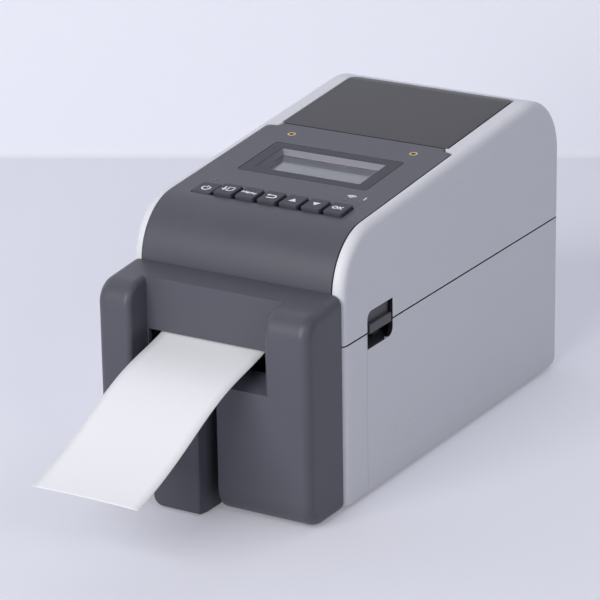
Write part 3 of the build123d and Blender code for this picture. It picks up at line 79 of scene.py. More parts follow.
# Window of the roll well: its clear middle, inside a printed border
WINDOW_CLEAR_HALF = 41.0 * MM
WINDOW_CLEAR_Y = (17.4 * MM, 76.2 * MM)

# Parting line of the casing and the half height of the painted shade along it, and the box of painted shade inside
# the lever pockets, as (low, high) limits on each axis
PART_Z = 82.4 * MM
PART_SHADE_HALF = 0.4 * MM
POCKET_SHADE_BOX = ((44.0 * MM, 57.5 * MM), (-87.6 * MM, -62.7 * MM), (73.9 * MM, 93.0 * MM))

# Flat frame round the display: outside size, radii, depth, edge rounding (share of its width, height)
FRAME_OUTSIDE = (71.8 * MM, 37.6 * MM)
FRAME_OUTER_R = 1.75 * MM
FRAME_INNER_R = 0.6 * MM
FRAME_DEEP = 5.9 * MM
FRAME_EDGE_T = 0.03
FRAME_EDGE_H = 0.25 * MM
FRAME_CLEAR = 0.15 * MM  # from the display's lens to the opening's wall
FRAME_LIP = 0.25 * MM  # dark depth of the opening, above the painted highlight on its wall

# Camera: solved from the casing's edges in the photograph
CAMERA_AT = np.array((778.15, -1335.9, 622.74)) * MM
CAMERA_AZIMUTH = np.radians(31.225)
CAMERA_ELEVATION = np.radians(19.952)
CAMERA_ROLL = np.radians(-0.884)
CAMERA_LENS = 198.0
SENSOR_W = 36.0
PHOTO_SIZE = 600
WALL_ROW = 157  # image row where the floor meets the wall

# Studio corner, in metres from the wall's foot: floor rows, cove radius, wall height and columns
FLOOR_ROWS = (-5.0, -1.0)
COVE_R = 0.005
WALL_H = 3.0
WALL_COLUMNS = np.array((-4.0, -1.5, 0.0, 1.5, 4.0))
FLOOR_COLOUR = (0.66, 0.665, 0.73, 1)
WALL_COLOUR = (0.82, 0.825, 0.9, 1)
FLOOR_GLOW = 0.22  # what a look at the floor adds, without lighting anything
WALL_GLOW = 0.11  # the same for the wall

# Lamps, in metres and watts, and the light of the room
LAMP_AIM = (0.0, -0.05, 0.07)
LAMPS = {
    "main_box": dict(at=(-0.15, -2.15, 1.15), size=1.5, watts=42.0, colour=(1.0, 0.99, 0.97)),
    "side_box": dict(at=(1.7, -1.2, 1.3), size=0.5, watts=5.5, colour=(1.0, 0.99, 0.98)),
}
ROOM_COLOUR = (0.84, 0.86, 1.0, 1)
ROOM_STRENGTH = 0.27


# Surfaces worked out as whole arrays


def grid_faces(rows, columns):
    """Quads of a rows by columns grid of points, numbered row by row."""
    corner = (np.arange(rows - 1)[:, None] * columns + np.arange(columns - 1)[None, :]).ravel()
    return np.stack([corner, corner + 1, corner + columns + 1, corner + columns], axis=1)


def slab(upper, lower):
    """Points and quads of a thin slab between two grids of one shape: both faces and a wall round the rim."""
    rows, columns, _ = upper.shape
    count = rows * columns
    index = np.arange(count).reshape(rows, columns)
    rim = np.concatenate([index[0, :-1], index[:-1, -1], index[-1, :0:-1], index[:0:-1, 0]])
    following = np.roll(rim, -1)
    top = grid_faces(rows, columns)
    bottom = top[:, ::-1] + count
    wall = np.stack([following, rim, rim + count, following + count], axis=1)
    points = np.concatenate([upper.reshape(-1, 3), lower.reshape(-1, 3)])
    return points, np.concatenate([top, bottom, wall])


def new_mesh(name, points, faces):
    """Mesh of an array of points, of any shape that ends in (x, y, z), and an array of quads."""
    mesh = bpy.data.meshes.new(name)
    mesh.from_pydata(points.reshape(-1, 3).tolist(), [], faces.tolist())
    mesh.validate()
    return mesh


def new_piece(name, mesh, body, material, smooth=False):
    """Object at the origin that rides on a body and takes the finish it is given."""
    mesh.polygons.foreach_set("use_smooth", np.full(len(mesh.polygons), smooth))
    mesh.materials.append(material)
    piece = bpy.data.objects.new(name, mesh)
    bpy.context.scene.collection.objects.link(piece)
    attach(piece, body)
    return piece


def smooth_path(points, first, last, count):
    """Clamped cubic spline through points by chord length.

    The slopes m solve h1*m0 + 2*(h0+h1)*m1 + h0*m2 = 3*(h1*d0 + h0*d1), with unit slopes given at both ends,
    and each span is the Hermite cubic of its end points and slopes.
    """
    span = np.linalg.norm(np.diff(points, axis=0), axis=1)
    knot = np.concatenate([[0.0], np.cumsum(span)])
    rate = np.diff(points, axis=0) / span[:, None]
    size = len(points)
    matrix = np.eye(size)
    target = np.zeros((size, 2))
    inner = np.arange(1, size - 1)
    matrix[inner, inner - 1] = span[1:]
    matrix[inner, inner] = 2 * (span[1:] + span[:-1])
    matrix[inner, inner + 1] = span[:-1]
    target[inner] = 3 * (span[1:, None] * rate[:-1] + span[:-1, None] * rate[1:])
    target[0], target[-1] = first, last
    slope = np.linalg.solve(matrix, target)
    at = np.linspace(0.0, knot[-1], count)
    k = np.clip(np.searchsorted(knot, at, side="right") - 1, 0, size - 2)
    h = span[k][:, None]
    t = ((at - knot[k]) / span[k])[:, None]
    return (
        (2 * t**3 - 3 * t**2 + 1) * points[k]
        + (t**3 - 2 * t**2 + t) * h * slope[k]
        + (-2 * t**3 + 3 * t**2) * points[k + 1]
        + (t**3 - t**2) * h * slope[k + 1]
    )


# Shader groups shared by several finishes


class Wiring:
    """Shorthand for placing nodes in a tree and joining their sockets."""

    def __init__(self, tree):
        self.tree = tree

    def feed(self, socket, value):
        """Link a socket from another socket, or give it a plain value."""
        if isinstance(value, bpy.types.NodeSocket):
            self.tree.links.new(value, socket)
        else:
            socket.default_value = value

    def set(self, node, name, value):
        """Feed a node's input by its name."""
        self.feed(node.inputs[name], value)

    def add(self, kind, **inputs):
        """New node with its inputs fed; an underscore stands for a space in an input's name."""
        node = self.tree.nodes.new(kind)
        for name, value in inputs.items():
            self.set(node, name.replace("_", " "), value)
        return node

    def math(self, operation, first, second=0.5):
        """One step of arithmetic on values or sockets."""
        node = self.tree.nodes.new("ShaderNodeMath")
        node.operation = operation
        for socket, value in zip(node.inputs, (first, second)):
            self.feed(socket, value)
        return node.outputs[0]

    def between(self, value, low, high):
        """1 where a value lies between two limits, and 0 elsewhere."""
        above = self.math("GREATER_THAN", value, low)
        return self.math("MULTIPLY", above, self.math("LESS_THAN", value, high))

    def noise(self, vector, scale, detail=2.0):
        """Noise with this many cells per metre."""
        return self.add("ShaderNodeTexNoise", Vector=vector, Scale=scale, Detail=detail).outputs["Fac"]

    def stretch(self, value, given, wanted=(0.0, 1.0)):
        """Value carried from one (low, high) range to another, and held within it."""
        node = self.add("ShaderNodeMapRange", Value=value)
        for name, number in zip(("From Min", "From Max", "To Min", "To Max"), (*given, *wanted)):
            self.set(node, name, number)
        return node.outputs[0]

    def mix(self, factor, first, second):
        """Colour between two colours; sockets 0, 6 and 7 are the Mix node's factor and colours."""
        node = self.tree.nodes.new("ShaderNodeMix")
        node.data_type = "RGBA"
        for index, value in zip((0, 6, 7), (factor, first, second)):
            self.feed(node.inputs[index], value)
        return node.outputs[2]

    def mapped(self, **values):
        """Object coordinates moved, turned or stretched."""
        return self.add("ShaderNodeMapping", Vector=self.object_space(), **values).outputs[0]

    def object_space(self):
        """Object coordinates, in metres."""
        return self.add("ShaderNodeTexCoord").outputs["Object"]

    def axes(self):
        """The three object coordinates as single values."""
        return self.add("ShaderNodeSeparateXYZ", Vector=self.object_space()).outputs


def new_group(name, inputs, outputs):
    """Empty shader group with float inputs (name: default) and float outputs."""
    tree = bpy.data.node_groups.new(name, "ShaderNodeTree")
    for label, default in inputs.items():
        socket = tree.interface.new_socket(label, in_out="INPUT", socket_type="NodeSocketFloat")
        socket.default_value = default
    for label in outputs:
        tree.interface.new_socket(label, in_out="OUTPUT", socket_type="NodeSocketFloat")
    wiring = Wiring(tree)
    return tree, wiring, wiring.add("NodeGroupInput"), wiring.add("NodeGroupOutput")


def moulded_grain_group():
    """Spark-eroded mould texture: fine noise as height, and slow unevenness as a shade about 1."""
    inputs = {"Grains per metre": 1800.0, "Unevenness": 0.04}
    tree, w, given, result = new_group("moulded_grain", inputs, ("Height", "Shade"))
    place = w.object_space()
    fine = w.noise(place, given.outputs["Grains per metre"], detail=3.0)
    slow = w.math("SUBTRACT", w.noise(place, scale=38.0, detail=4.0), 0.5)
    w.set(result, "Height", fine)
    w.set(result, "Shade", w.math("ADD", 1.0, w.math("MULTIPLY", slow, given.outputs["Unevenness"])))
    return tree


def dust_group():
    """Fine dust: cloudy noise, strongest where the surface faces up."""
    tree, w, given, result = new_group("settled_dust", {"Amount": 0.3}, ("Mask",))
    normal = w.add("ShaderNodeNewGeometry").outputs["Normal"]
    up = w.add("ShaderNodeSeparateXYZ", Vector=normal).outputs["Z"]
    facing = w.stretch(up, (0.2, 1.0), (0.15, 1.0))
    cloud = w.stretch(w.noise(w.object_space(), scale=95.0, detail=6.0), (0.35, 0.75))
    w.set(result, "Mask", w.math("MULTIPLY", w.math("MULTIPLY", facing, cloud), given.outputs["Amount"]))
    return tree


def scuff_group():
    """Handling marks: noise drawn out along the casing's length, kept only where a coarse noise is high."""
    tree, w, given, result = new_group("handling_scuffs", {"Amount": 0.5}, ("Mask",))
    drawn = w.mapped(Scale=(90.0, 60.0, 520.0), Rotation=(0.5, 0.0, 0.0))
    streak = w.stretch(w.noise(drawn, scale=1.0), (0.66, 0.74))
    where = w.stretch(w.noise(w.object_space(), scale=21.0, detail=1.0), (0.6, 0.72))
    w.set(result, "Mask", w.math("MULTIPLY", w.math("MULTIPLY", streak, where), given.outputs["Amount"]))
    return tree


GROUPS = {"grain": moulded_grain_group(), "dust": dust_group(), "scuffs": scuff_group()}


# Finishes

# Dust pales a colour to this share of it plus this grey, and roughens it fully at this mask
DUST_SHARE = 0.75
DUST_GREY = 0.2
DUST_FULL = 0.3
DUST_ROUGHENS = 0.15
SCUFF_SHADE = 0.72
# Colour of the painted shade along the parting gap and inside the lever pockets
PAINTED_SHADE_COLOUR = (0.012, 0.012, 0.014, 1)
# Colour of the painted highlight on the display opening's wall, standing in for reflected light
OPENING_HIGHLIGHT_COLOUR = (0.33, 0.32, 0.38, 1)

# Moulded finishes, with grains per metre and the depth of the grain
MOULDED = {
    "white_plastic": dict(
        colour=(0.735, 0.745, 0.78),
        roughness=0.5,
        grains=2400.0,
        depth=0.012 * MM,
        dust=0.04,
        scuffs=0.35,
        uneven=0.02,
    ),
    "dark_plastic": dict(
        colour=(0.082, 0.0845, 0.105),
        roughness=0.42,
        grains=1300.0,
        depth=0.05 * MM,
        dust=0.03,
        uneven=0.05,
        specular=0.4,
    ),
    "frame_plastic": dict(
        colour=(0.046, 0.048, 0.06),
        roughness=0.5,
        grains=1700.0,
        depth=0.02 * MM,
        dust=0.03,
        uneven=0.05,
        specular=0.3,
    ),
    "black_plastic": dict(colour=(0.025, 0.025, 0.028), roughness=0.5, grains=1700.0, depth=0.02 * MM),
    "lever_plastic": dict(
        colour=(0.075, 0.076, 0.084), roughness=0.45, grains=2000.0, depth=0.015 * MM, dust=0.03
    ),
    "key_plastic": dict(
        colour=(0.056, 0.057, 0.073), roughness=0.5, grains=2400.0, depth=0.012 * MM, dust=0.05, specular=0.25
    ),
    "gear_plastic": dict(colour=(0.78, 0.77, 0.7), roughness=0.4, grains=2400.0, depth=0.01 * MM),
    "rubber": dict(colour=(0.03, 0.03, 0.032), roughness=0.8, grains=1300.0, depth=0.03 * MM, dust=0.3),
    "core_board": dict(
        colour=(0.36, 0.27, 0.18), roughness=0.8, grains=900.0, depth=0.05 * MM, dust=0.1, uneven=0.3
    ),
    "ceramic": dict(colour=(0.8, 0.79, 0.75), roughness=0.25, grains=1200.0, depth=0.004 * MM),
}


def open_finish(material):
    """Wiring and Principled BSDF of a material."""
    shader = next(node for node in material.node_tree.nodes if node.type == "BSDF_PRINCIPLED")
    return Wiring(material.node_tree), shader


def new_finish(name):
    """Material with one Principled BSDF; returns it with its wiring and shader."""
    material = bpy.data.materials.new(name)
    material.use_nodes = True
    return material, *open_finish(material)


def place_group(wiring, key, **values):
    """Shared group in a material, with its own values."""
    node = wiring.tree.nodes.new("ShaderNodeGroup")
    node.node_tree = GROUPS[key]
    for label, value in values.items():
        wiring.set(node, label.replace("_", " "), value)
    return node


def shade(colour, factor=1.0):
    """Colour times a factor, held to 1, with its alpha."""
    return (*(min(1.0, channel * factor) for channel in colour), 1.0)


def moulded_plastic(name, colour, roughness, grains, depth, dust=0.12, scuffs=0.0, uneven=0.06, specular=0.5):
    """Textured moulding: grain as bump, uneven colour, dust on what faces up and faint scuffs."""
    material, w, shader = new_finish(name)
    grain = place_group(w, "grain", Grains_per_metre=grains, Unevenness=uneven)
    spread = (1.0 - uneven / 2, 1.0 + uneven / 2)
    lift = w.stretch(grain.outputs["Shade"], spread)
    tone = w.mix(lift, shade(colour, spread[0]), shade(colour, spread[1]))
    dusty = place_group(w, "dust", Amount=dust).outputs["Mask"]
    pale = tuple(DUST_SHARE * channel + DUST_GREY for channel in colour)
    tone = w.mix(dusty, tone, shade(pale))
    if scuffs:
        marks = place_group(w, "scuffs", Amount=scuffs)
        tone = w.mix(marks.outputs["Mask"], tone, shade(colour, SCUFF_SHADE))
    w.set(shader, "Base Color", tone)
    rough = (roughness, min(1.0, roughness + DUST_ROUGHENS))
    w.set(shader, "Roughness", w.stretch(dusty, (0.0, DUST_FULL), rough))
    w.set(shader, "Specular IOR Level", specular)
    bump = w.add("ShaderNodeBump", Height=grain.outputs["Height"], Strength=1.0, Distance=depth)
    w.set(shader, "Normal", bump.outputs[0])
    return material


def casing_white():
    """White moulding with painted shade: dark along the parting gap and in the pockets behind the release levers.
    """
    material = moulded_plastic("white_plastic", **MOULDED["white_plastic"])
    w, shader = open_finish(material)
    white = shader.inputs["Base Color"].links[0].from_socket
    x, y, z = w.axes()
    # Painted shade: the parting gap and the lever pockets are coloured dark where shade falls
    gap = w.math("LESS_THAN", w.math("ABSOLUTE", w.math("SUBTRACT", z, PART_Z)), PART_SHADE_HALF)
    inside = 1.0
    for value, (low, high) in zip((w.math("ABSOLUTE", x), y, z), POCKET_SHADE_BOX):
        inside = w.math("MULTIPLY", w.between(value, low, high), inside)
    w.set(shader, "Base Color", w.mix(w.math("MAXIMUM", gap, inside), white, PAINTED_SHADE_COLOUR))
    return material


def frame_plastic():
    """Dark frame of the display, whose opening's wall carries a painted highlight, standing in for reflected
    light, under a dark lip.
    """
    material = moulded_plastic("frame_plastic", **MOULDED["frame_plastic"])
    w, shader = open_finish(material)
    dark = shader.inputs["Base Color"].links[0].from_socket
    place = w.add("ShaderNodeVectorMath", Vector=w.object_space())
    place.operation = "DOT_PRODUCT"
    place.inputs[1].default_value = PANEL_NORMAL
    # Painted highlight: below the lip the opening's wall is coloured pale, standing in for reflected light
    deep = w.math("LESS_THAN", place.outputs["Value"], PANEL_HEIGHT - FRAME_LIP)
    w.set(shader, "Base Color", w.mix(deep, dark, OPENING_HIGHLIGHT_COLOUR))
    return material


def brushed_metal(name, colour, roughness, drawn):
    """Metal with fine lines drawn out along one axis, as roughness and a slight bump."""
    material, w, shader = new_finish(name)
    streak = w.noise(w.mapped(Scale=drawn), scale=1.0, detail=3.0)
    w.set(shader, "Metallic", 1.0)
    w.set(shader, "Base Color", w.mix(streak, shade(colour, 0.86), shade(colour, 1.08)))
    w.set(shader, "Roughness", w.stretch(streak, (0.2, 0.8), (roughness - 0.08, roughness + 0.12)))
    bump = w.add("ShaderNodeBump", Height=streak, Strength=0.3, Distance=0.02 * MM)
    w.set(shader, "Normal", bump.outputs[0])
    return material


def smoked_window():
    """Smoked gloss panel: a printed border round a slightly clearer middle, and faint wipe marks."""
    material, w, shader = new_finish("smoked_window")
    x, y, _ = w.axes()
    across = w.math("LESS_THAN", w.math("ABSOLUTE", x), WINDOW_CLEAR_HALF)
    middle = w.math("MULTIPLY", across, w.between(y, *WINDOW_CLEAR_Y))
    w.set(shader, "Base Color", w.mix(middle, (0.003, 0.003, 0.004, 1), (0.008, 0.007, 0.008, 1)))
    wipe = w.noise(w.mapped(Scale=(40.0, 160.0, 40.0)), scale=1.0, detail=4.0)
    w.set(shader, "Roughness", w.stretch(wipe, (0.3, 0.7), (0.1, 0.2)))
    w.set(shader, "Specular IOR Level", 0.33)
    w.set(shader, "Specular Tint", (1.0, 0.94, 1.0, 1))
    return material


def display_glass():
    """Clear display cover with a fine anti-glare etch in its roughness."""
    material, w, shader = new_finish("display_glass")
    w.set(shader, "Base Color", (0.92, 0.94, 0.96, 1))
    w.set(shader, "Transmission Weight", 1.0)
    w.set(shader, "IOR", 1.45)
    etch = w.noise(w.object_space(), scale=900.0)
    w.set(shader, "Roughness", w.stretch(etch, (0.3, 0.7), (0.02, 0.08)))
    return material


def display_grey():
    """Unlit liquid crystal: a pixel grid so fine that it reads as grey, a little cloudy."""
    material, w, shader = new_finish("display_grey")
    place = w.object_space()
    cells = w.add("ShaderNodeTexChecker", Vector=place, Scale=2600.0)
    w.set(cells, "Color1", (0.25, 0.255, 0.28, 1))
    w.set(cells, "Color2", (0.27, 0.275, 0.3, 1))
    cloud = w.noise(place, scale=60.0)
    w.set(shader, "Base Color", w.mix(cloud, cells.outputs["Color"], (0.285, 0.29, 0.315, 1)))
    w.set(shader, "Roughness", 0.35)
    return material


def label_paper(name, colour):
    """Coated paper: short fibres as a faint bump and tone."""
    material, w, shader = new_finish(name)
    fibre = w.noise(w.mapped(Scale=(900.0, 2600.0, 2600.0)), scale=1.0, detail=3.0)
    w.set(shader, "Base Color", w.mix(fibre, shade(colour, 0.975), shade(colour, 1.01)))
    w.set(shader, "Roughness", 0.55)
    bump = w.add("ShaderNodeBump", Height=fibre, Strength=0.4, Distance=0.015 * MM)
    w.set(shader, "Normal", bump.outputs[0])
    return material


def wound_paper():
    """Label roll: rings about the roll's axis where the layers show at its ends, plain paper round it."""
    material, w, shader = new_finish("wound_paper")
    centre = joints["roll_spin"]["pos_m"]
    about = w.mapped(Location=(0.0, -centre[1], -centre[2]))
    rings = w.add("ShaderNodeTexWave", Vector=about, Scale=420.0, Distortion=0.4)
    rings.wave_type, rings.rings_direction = "RINGS", "X"
    w.set(shader, "Base Color", w.mix(rings.outputs["Fac"], (0.8, 0.79, 0.76, 1), (0.88, 0.88, 0.87, 1)))
    w.set(shader, "Roughness", 0.6)
    return material


def circuit_board():
    """Green solder mask over tracks: a brick pattern of slightly paler lines."""
    material, w, shader = new_finish("circuit_board")
    tracks = w.add("ShaderNodeTexBrick", Vector=w.object_space(), Scale=180.0)
    w.set(tracks, "Color1", (0.02, 0.11, 0.05, 1))
    w.set(tracks, "Color2", (0.022, 0.125, 0.055, 1))
    w.set(tracks, "Mortar", (0.05, 0.2, 0.09, 1))
    w.set(shader, "Base Color", tracks.outputs["Color"])
    w.set(shader, "Roughness", 0.4)
    return material


def clouded(name, scale, dark, pale, roughness):
    """Plain finish with a fine cloudy noise between two near colours."""
    material, w, shader = new_finish(name)
    w.set(shader, "Base Color", w.mix(w.noise(w.object_space(), scale), dark, pale))
    w.set(shader, "Roughness", roughness)
    return material


def printed_ink():
    """White pad-printed ink, a little patchy."""
    return clouded("printed_ink", 1500.0, (0.86, 0.87, 0.9, 1), (0.95, 0.96, 0.98, 1), roughness=0.6)


def clear_pipe():
    """Unlit light pipe: smoky, glossy, with a cloudy core."""
    return clouded("clear_pipe", 700.0, (0.05, 0.05, 0.06, 1), (0.1, 0.1, 0.115, 1), roughness=0.15)


PLAIN_MOULDED = [name for name in MOULDED if name not in ("white_plastic", "frame_plastic")]
FINISHES = {
    **{name: moulded_plastic(name, **MOULDED[name]) for name in PLAIN_MOULDED},
    "white_plastic": casing_white(),
    "display_frame": frame_plastic(),
    "smoked_plastic": smoked_window(),
    "display_glass": display_glass(),
    "display_grey": display_grey(),
    "light_pipe": clear_pipe(),
    "label_paper": label_paper("label_paper", (0.86, 0.865, 0.89)),
    "circuit_board": circuit_board(),
    "brass": brushed_metal("brass", (0.78, 0.58, 0.24), roughness=0.32, drawn=(600.0, 600.0, 3000.0)),
    "steel": brushed_metal("steel", (0.58, 0.58, 0.6), roughness=0.34, drawn=(300.0, 4000.0, 4000.0)),
    "aluminium": brushed_metal("aluminium", (0.74, 0.74, 0.76), roughness=0.4, drawn=(4000.0, 300.0, 4000.0)),
}
WOUND_PAPER = wound_paper()
INK = printed_ink()

for part in frame["record"]["subparts"]:
    finish = WOUND_PAPER if part["node"] == "label_roll" else FINISHES[part["material_slot"]]
    mesh = nodes[part["node"]].data
    mesh.materials.clear()
    mesh.materials.append(finish)


# The label, from the roll over the platen and out of the slot


def round_radius(node):
    """Half the height of a round node that lies on its side."""
    low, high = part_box(node)
    return (high[2] - low[2]) / 2


def label_route():
    """Middle line of the web as (y, z): the common tangent of roll and platen, a lead, then a spline."""
    roll, platen = (np.array(joints[name]["pos_m"][1:]) for name in ("roll_spin", "platen_spin"))
    roll_r, platen_r = (round_radius(node) for node in ("label_roll", "platen_rubber"))
    run = platen - roll
    angle = np.arctan2(run[1], run[0]) - np.arccos((roll_r - platen_r) / np.hypot(*run))
    normal = np.array((np.cos(angle), np.sin(angle)))
    along = np.array((-normal[1], normal[0]))
    start = roll + (roll_r + WEB_CLEAR) * normal
    lead = platen + (platen_r + WEB_CLEAR) * normal + WEB_LEAD * along
    straight = start + np.linspace(0.0, 1.0, WEB_ALONG // 4, endpoint=False)[:, None] * (lead - start)
    end = -np.array((np.cos(WEB_END), np.sin(WEB_END)))
    return np.concatenate([straight, smooth_path(np.vstack([lead, WEB_OUT]), along, end, WEB_ALONG)])


def label_sheet():
    """Web surface P(u, s) = route(s) + u*X + camber*(1 - u^2)*free(s)*Z, thickened along its own normal.

    free(s) rises from 0 inside the slot to 1 outside, so that the strip arches across only where it hangs.
    """
    route = label_route()
    low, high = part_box("label_strip")
    u = np.linspace(-1.0, 1.0, WEB_ACROSS)[None, :]
    x = (low[0] + high[0]) / 2 + u * (high[0] - low[0]) / 2
    free = np.clip((WEB_OUT[0, 0] - route[:, 0]) / (WEB_OUT[0, 0] - WEB_OUT[1, 0]), 0.0, 1.0)[:, None]
    tangent = np.gradient(route, axis=0)
    tangent /= np.linalg.norm(tangent, axis=1)[:, None]
    normal = np.stack([tangent[:, 1], -tangent[:, 0]], axis=1)
    arch = WEB_CAMBER * (1.0 - u**2) * free
    middle = np.stack(
        [
            np.broadcast_to(x, arch.shape),
            np.broadcast_to(route[:, :1], arch.shape),
            route[:, 1:] + arch,
        ],
        axis=2,
    )
    thick = np.concatenate([np.zeros((len(route), 1)), normal * WEB_THICK / 2], axis=1)[:, None, :]
    mesh = new_mesh("label_web", *slab(middle + thick, middle - thick))
    piece = new_piece("label_web", mesh, "base", FINISHES["label_paper"], smooth=True)
    facing = np.empty(len(mesh.polygons) * 3)
    mesh.polygons.foreach_get("normal", facing)
    mesh.polygons.foreach_set("use_smooth", np.abs(facing[::3]) < WEB_SIDE)
    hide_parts("label_strip")
    return piece


label_sheet()


# The display's frame


def node_points(name):
    """All points of a node's mesh as an array."""
    mesh = nodes[name].data
    points = np.empty(len(mesh.vertices) * 3)
    mesh.vertices.foreach_get("co", points)
    return points.reshape(-1, 3)


def panel_span(name, clear):
    """Half sizes (across, along) plus a clearance, and middle (x, s), of a node in the panel's own axes."""
    points = node_points(name)
    flat = np.stack([points[:, 0], points @ PANEL_ALONG], axis=1)
    low, high = flat.min(axis=0), flat.max(axis=0)
    return (high - low) / 2 + clear, (high + low) / 2


def rounded_loop(half, radius, per_corner=9):
    """Closed rounded rectangle: quarter arcs of equal count about its four corners, anticlockwise."""
    corner = np.array([(1, 1), (-1, 1), (-1, -1), (1, -1)], dtype=float)
    turn = np.radians(np.linspace(0.0, 90.0, per_corner)[None, :] + 90.0 * np.arange(4)[:, None])
    round_off = radius * np.stack([np.cos(turn), np.sin(turn)], axis=2)
    return (corner[:, None, :] * (np.array(half) - radius) + round_off).reshape(-1, 2)


def display_frame():
    """Flat frame P(k, j) = inner(k) + t_j*(outer(k) - inner(k)) + h_j*N round the sunk display.

    inner(k) and outer(k) are rounded rectangles with the same count of points, and (t_j, h_j) runs round the
    frame's section: up the inner wall, over a small rounding, across the top and down the outside.
    """
    half, middle = panel_span("display_lens", FRAME_CLEAR)
    outer_half = np.array(FRAME_OUTSIDE) / 2
    inner, outer = rounded_loop(half, FRAME_INNER_R), rounded_loop(outer_half, FRAME_OUTER_R)
    bend = np.radians(np.linspace(180.0, 90.0, 5))
    section = np.concatenate(
        [
            [(0.0, -FRAME_DEEP)],
            np.stack([(1 + np.cos(bend)) * FRAME_EDGE_T, (np.sin(bend) - 1) * FRAME_EDGE_H], axis=1),
            [(1.0 - FRAME_EDGE_T, 0.0), (1.0, -FRAME_EDGE_H), (1.0, -FRAME_DEEP)],
        ]
    )
    flat = inner[:, None, :] + section[None, :, :1] * (outer - inner)[:, None, :] + middle
    height = PANEL_HEIGHT + section[None, :, 1:]
    points = flat[..., :1] * PANEL_ACROSS + flat[..., 1:] * PANEL_ALONG + height * PANEL_NORMAL
    rows, columns = points.shape[:2]
    k, j = (index.ravel() for index in np.meshgrid(np.arange(rows), np.arange(columns), indexing="ij"))
    k_on, j_on = (k + 1) % rows, (j + 1) % columns
    faces = np.stack([k * columns + j, k * columns + j_on, k_on * columns + j_on, k_on * columns + j], axis=1)
    mesh = new_mesh("display_frame", points, faces)
    piece = new_piece("display_frame", mesh, "lid", FINISHES["display_frame"])
    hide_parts("display_bezel")
    return piece


display_frame()


# Symbols on the keys and beside the lights

# Widths of the strokes, in units of SYMBOL_SCALE, and of an arrow head's tip
SIGN = 0.68
SHAFT = 0.7
CAPITAL = 0.6
PAGE = 0.55
LETTER = 0.48
STEM = 0.42
BAR = 0.4
TIP = 0.02


def top_spot(name):
    """(x, s, height) of the middle of a node's top, measured in the panel's own axes."""
    points = node_points(name)
    height = points @ PANEL_NORMAL
    top = points[height > height.max() - TOP_SKIN]
    s = top @ PANEL_ALONG
    x = top[:, 0]
    return (x.min() + x.max()) / 2, (s.min() + s.max()) / 2, height.max()


def arc(centre, radius, start, stop, count=25):
    """Points of a circular arc, angles in degrees from +x."""
    angle = np.radians(np.linspace(start, stop, count))
    return np.array(centre) + radius * np.stack([np.cos(angle), np.sin(angle)], axis=1)


def line(*points):
    """Path straight from point to point."""
    return np.array(points, dtype=float)


def arrow_head(start, stop, width):
    """Straight stroke that narrows from a width to a tip."""
    return line(start, stop), np.array([width, TIP])


def stroke(path, width):
    """Left and right edges of a brush stroke: the path moved both ways along its normal by half the width."""
    tangent = np.gradient(path, axis=0)
    tangent /= np.linalg.norm(tangent, axis=1)[:, None]
    normal = np.stack([-tangent[:, 1], tangent[:, 0]], axis=1)
    half = np.broadcast_to(np.asarray(width, dtype=float) / 2, (len(path),))[:, None]
    return np.stack([path - half * normal, path + half * normal], axis=1)


def printed(name, spot, strokes, body):
    """Symbol of brush strokes (path, width), printed on the panel's slope about a spot as thin slabs."""
    x, s, height = spot
    points, faces, count = [], [], 0
    for path, width in strokes:
        edges = stroke(path, width) * SYMBOL_SCALE
        flat = (x + edges[..., :1]) * PANEL_ACROSS + (s + edges[..., 1:]) * PANEL_ALONG
        upper = flat + (height + PRINT_PROUD) * PANEL_NORMAL
        lower = flat + (height - PRINT_SUNK) * PANEL_NORMAL
        slab_points, slab_faces = slab(upper, lower)
        points.append(slab_points)
        faces.append(slab_faces + count)
        count += len(slab_points)
    mesh = new_mesh(name, np.concatenate(points), np.concatenate(faces))
    return new_piece(name, mesh, body, INK)


LETTER_N = np.vstack(
    [line((0.65, -0.9), (0.65, -0.1)), arc((1.1, -0.15), 0.45, 180, 0, 15), line((1.55, -0.9))]
)
LETTER_U = np.vstack(
    [line((2.15, 0.3), (2.15, -0.4)), arc((2.6, -0.42), 0.45, 180, 360, 15), line((3.05, 0.3))]
)
HOOK = np.vstack(
    [line((-1.4, 1.0), (0.6, 1.0)), arc((0.9, -0.25), 1.25, 90, -90, 15), line((0.6, -1.5), (-1.6, -1.5))]
)
PAGE_EDGE = line((0.1, -1.7), (0.1, 1.7), (2.6, 1.7), (2.6, -0.7), (1.6, -1.7), (0.1, -1.7), (0.1, -1.1))
SYMBOLS = {
    "power": [(arc((0, -0.3), 1.75, 125, 415), SIGN), (line((0, 0.2), (0, 1.9)), SIGN)],
    "feed": [
        (PAGE_EDGE, PAGE),
        (line((-1.5, 1.9), (-1.5, -0.4)), SHAFT),
        arrow_head((-1.5, -0.3), (-1.5, -1.9), 2.3),
    ],
    "menu": [
        (line((-3.3, -0.9), (-3.3, 0.9)), STEM),
        (line((-3.25, 0.9), (-2.45, -0.5)), STEM),
        (line((-2.45, -0.5), (-1.65, 0.9)), STEM),
        (line((-1.6, 0.9), (-1.6, -0.9)), STEM),
        (line((-1.05, -0.3), (0.05, -0.3)), BAR),
        (arc((-0.5, -0.3), 0.58, 0, 310), LETTER),
        (LETTER_N, LETTER),
        (LETTER_U, LETTER),
    ],
    "back": [(HOOK, SIGN), arrow_head((-1.3, 1.0), (-2.6, 1.0), 1.9)],
    "up": [arrow_head((0, -1.3), (0, 1.5), 3.4)],
    "down": [arrow_head((0, 1.3), (0, -1.5), 3.4)],
    "enter": [
        (arc((-1.3, 0), 1.0, 90, 450), CAPITAL),
        (line((0.5, -1.2), (0.5, 1.2)), CAPITAL),
        (line((2.05, 1.2), (0.6, -0.1)), CAPITAL),
        (line((0.95, 0.25), (2.1, -1.2)), CAPITAL),
    ],
}
for key, strokes in SYMBOLS.items():
    printed(f"{key}_symbol", top_spot(f"{key}_key"), strokes, f"key_{key}")

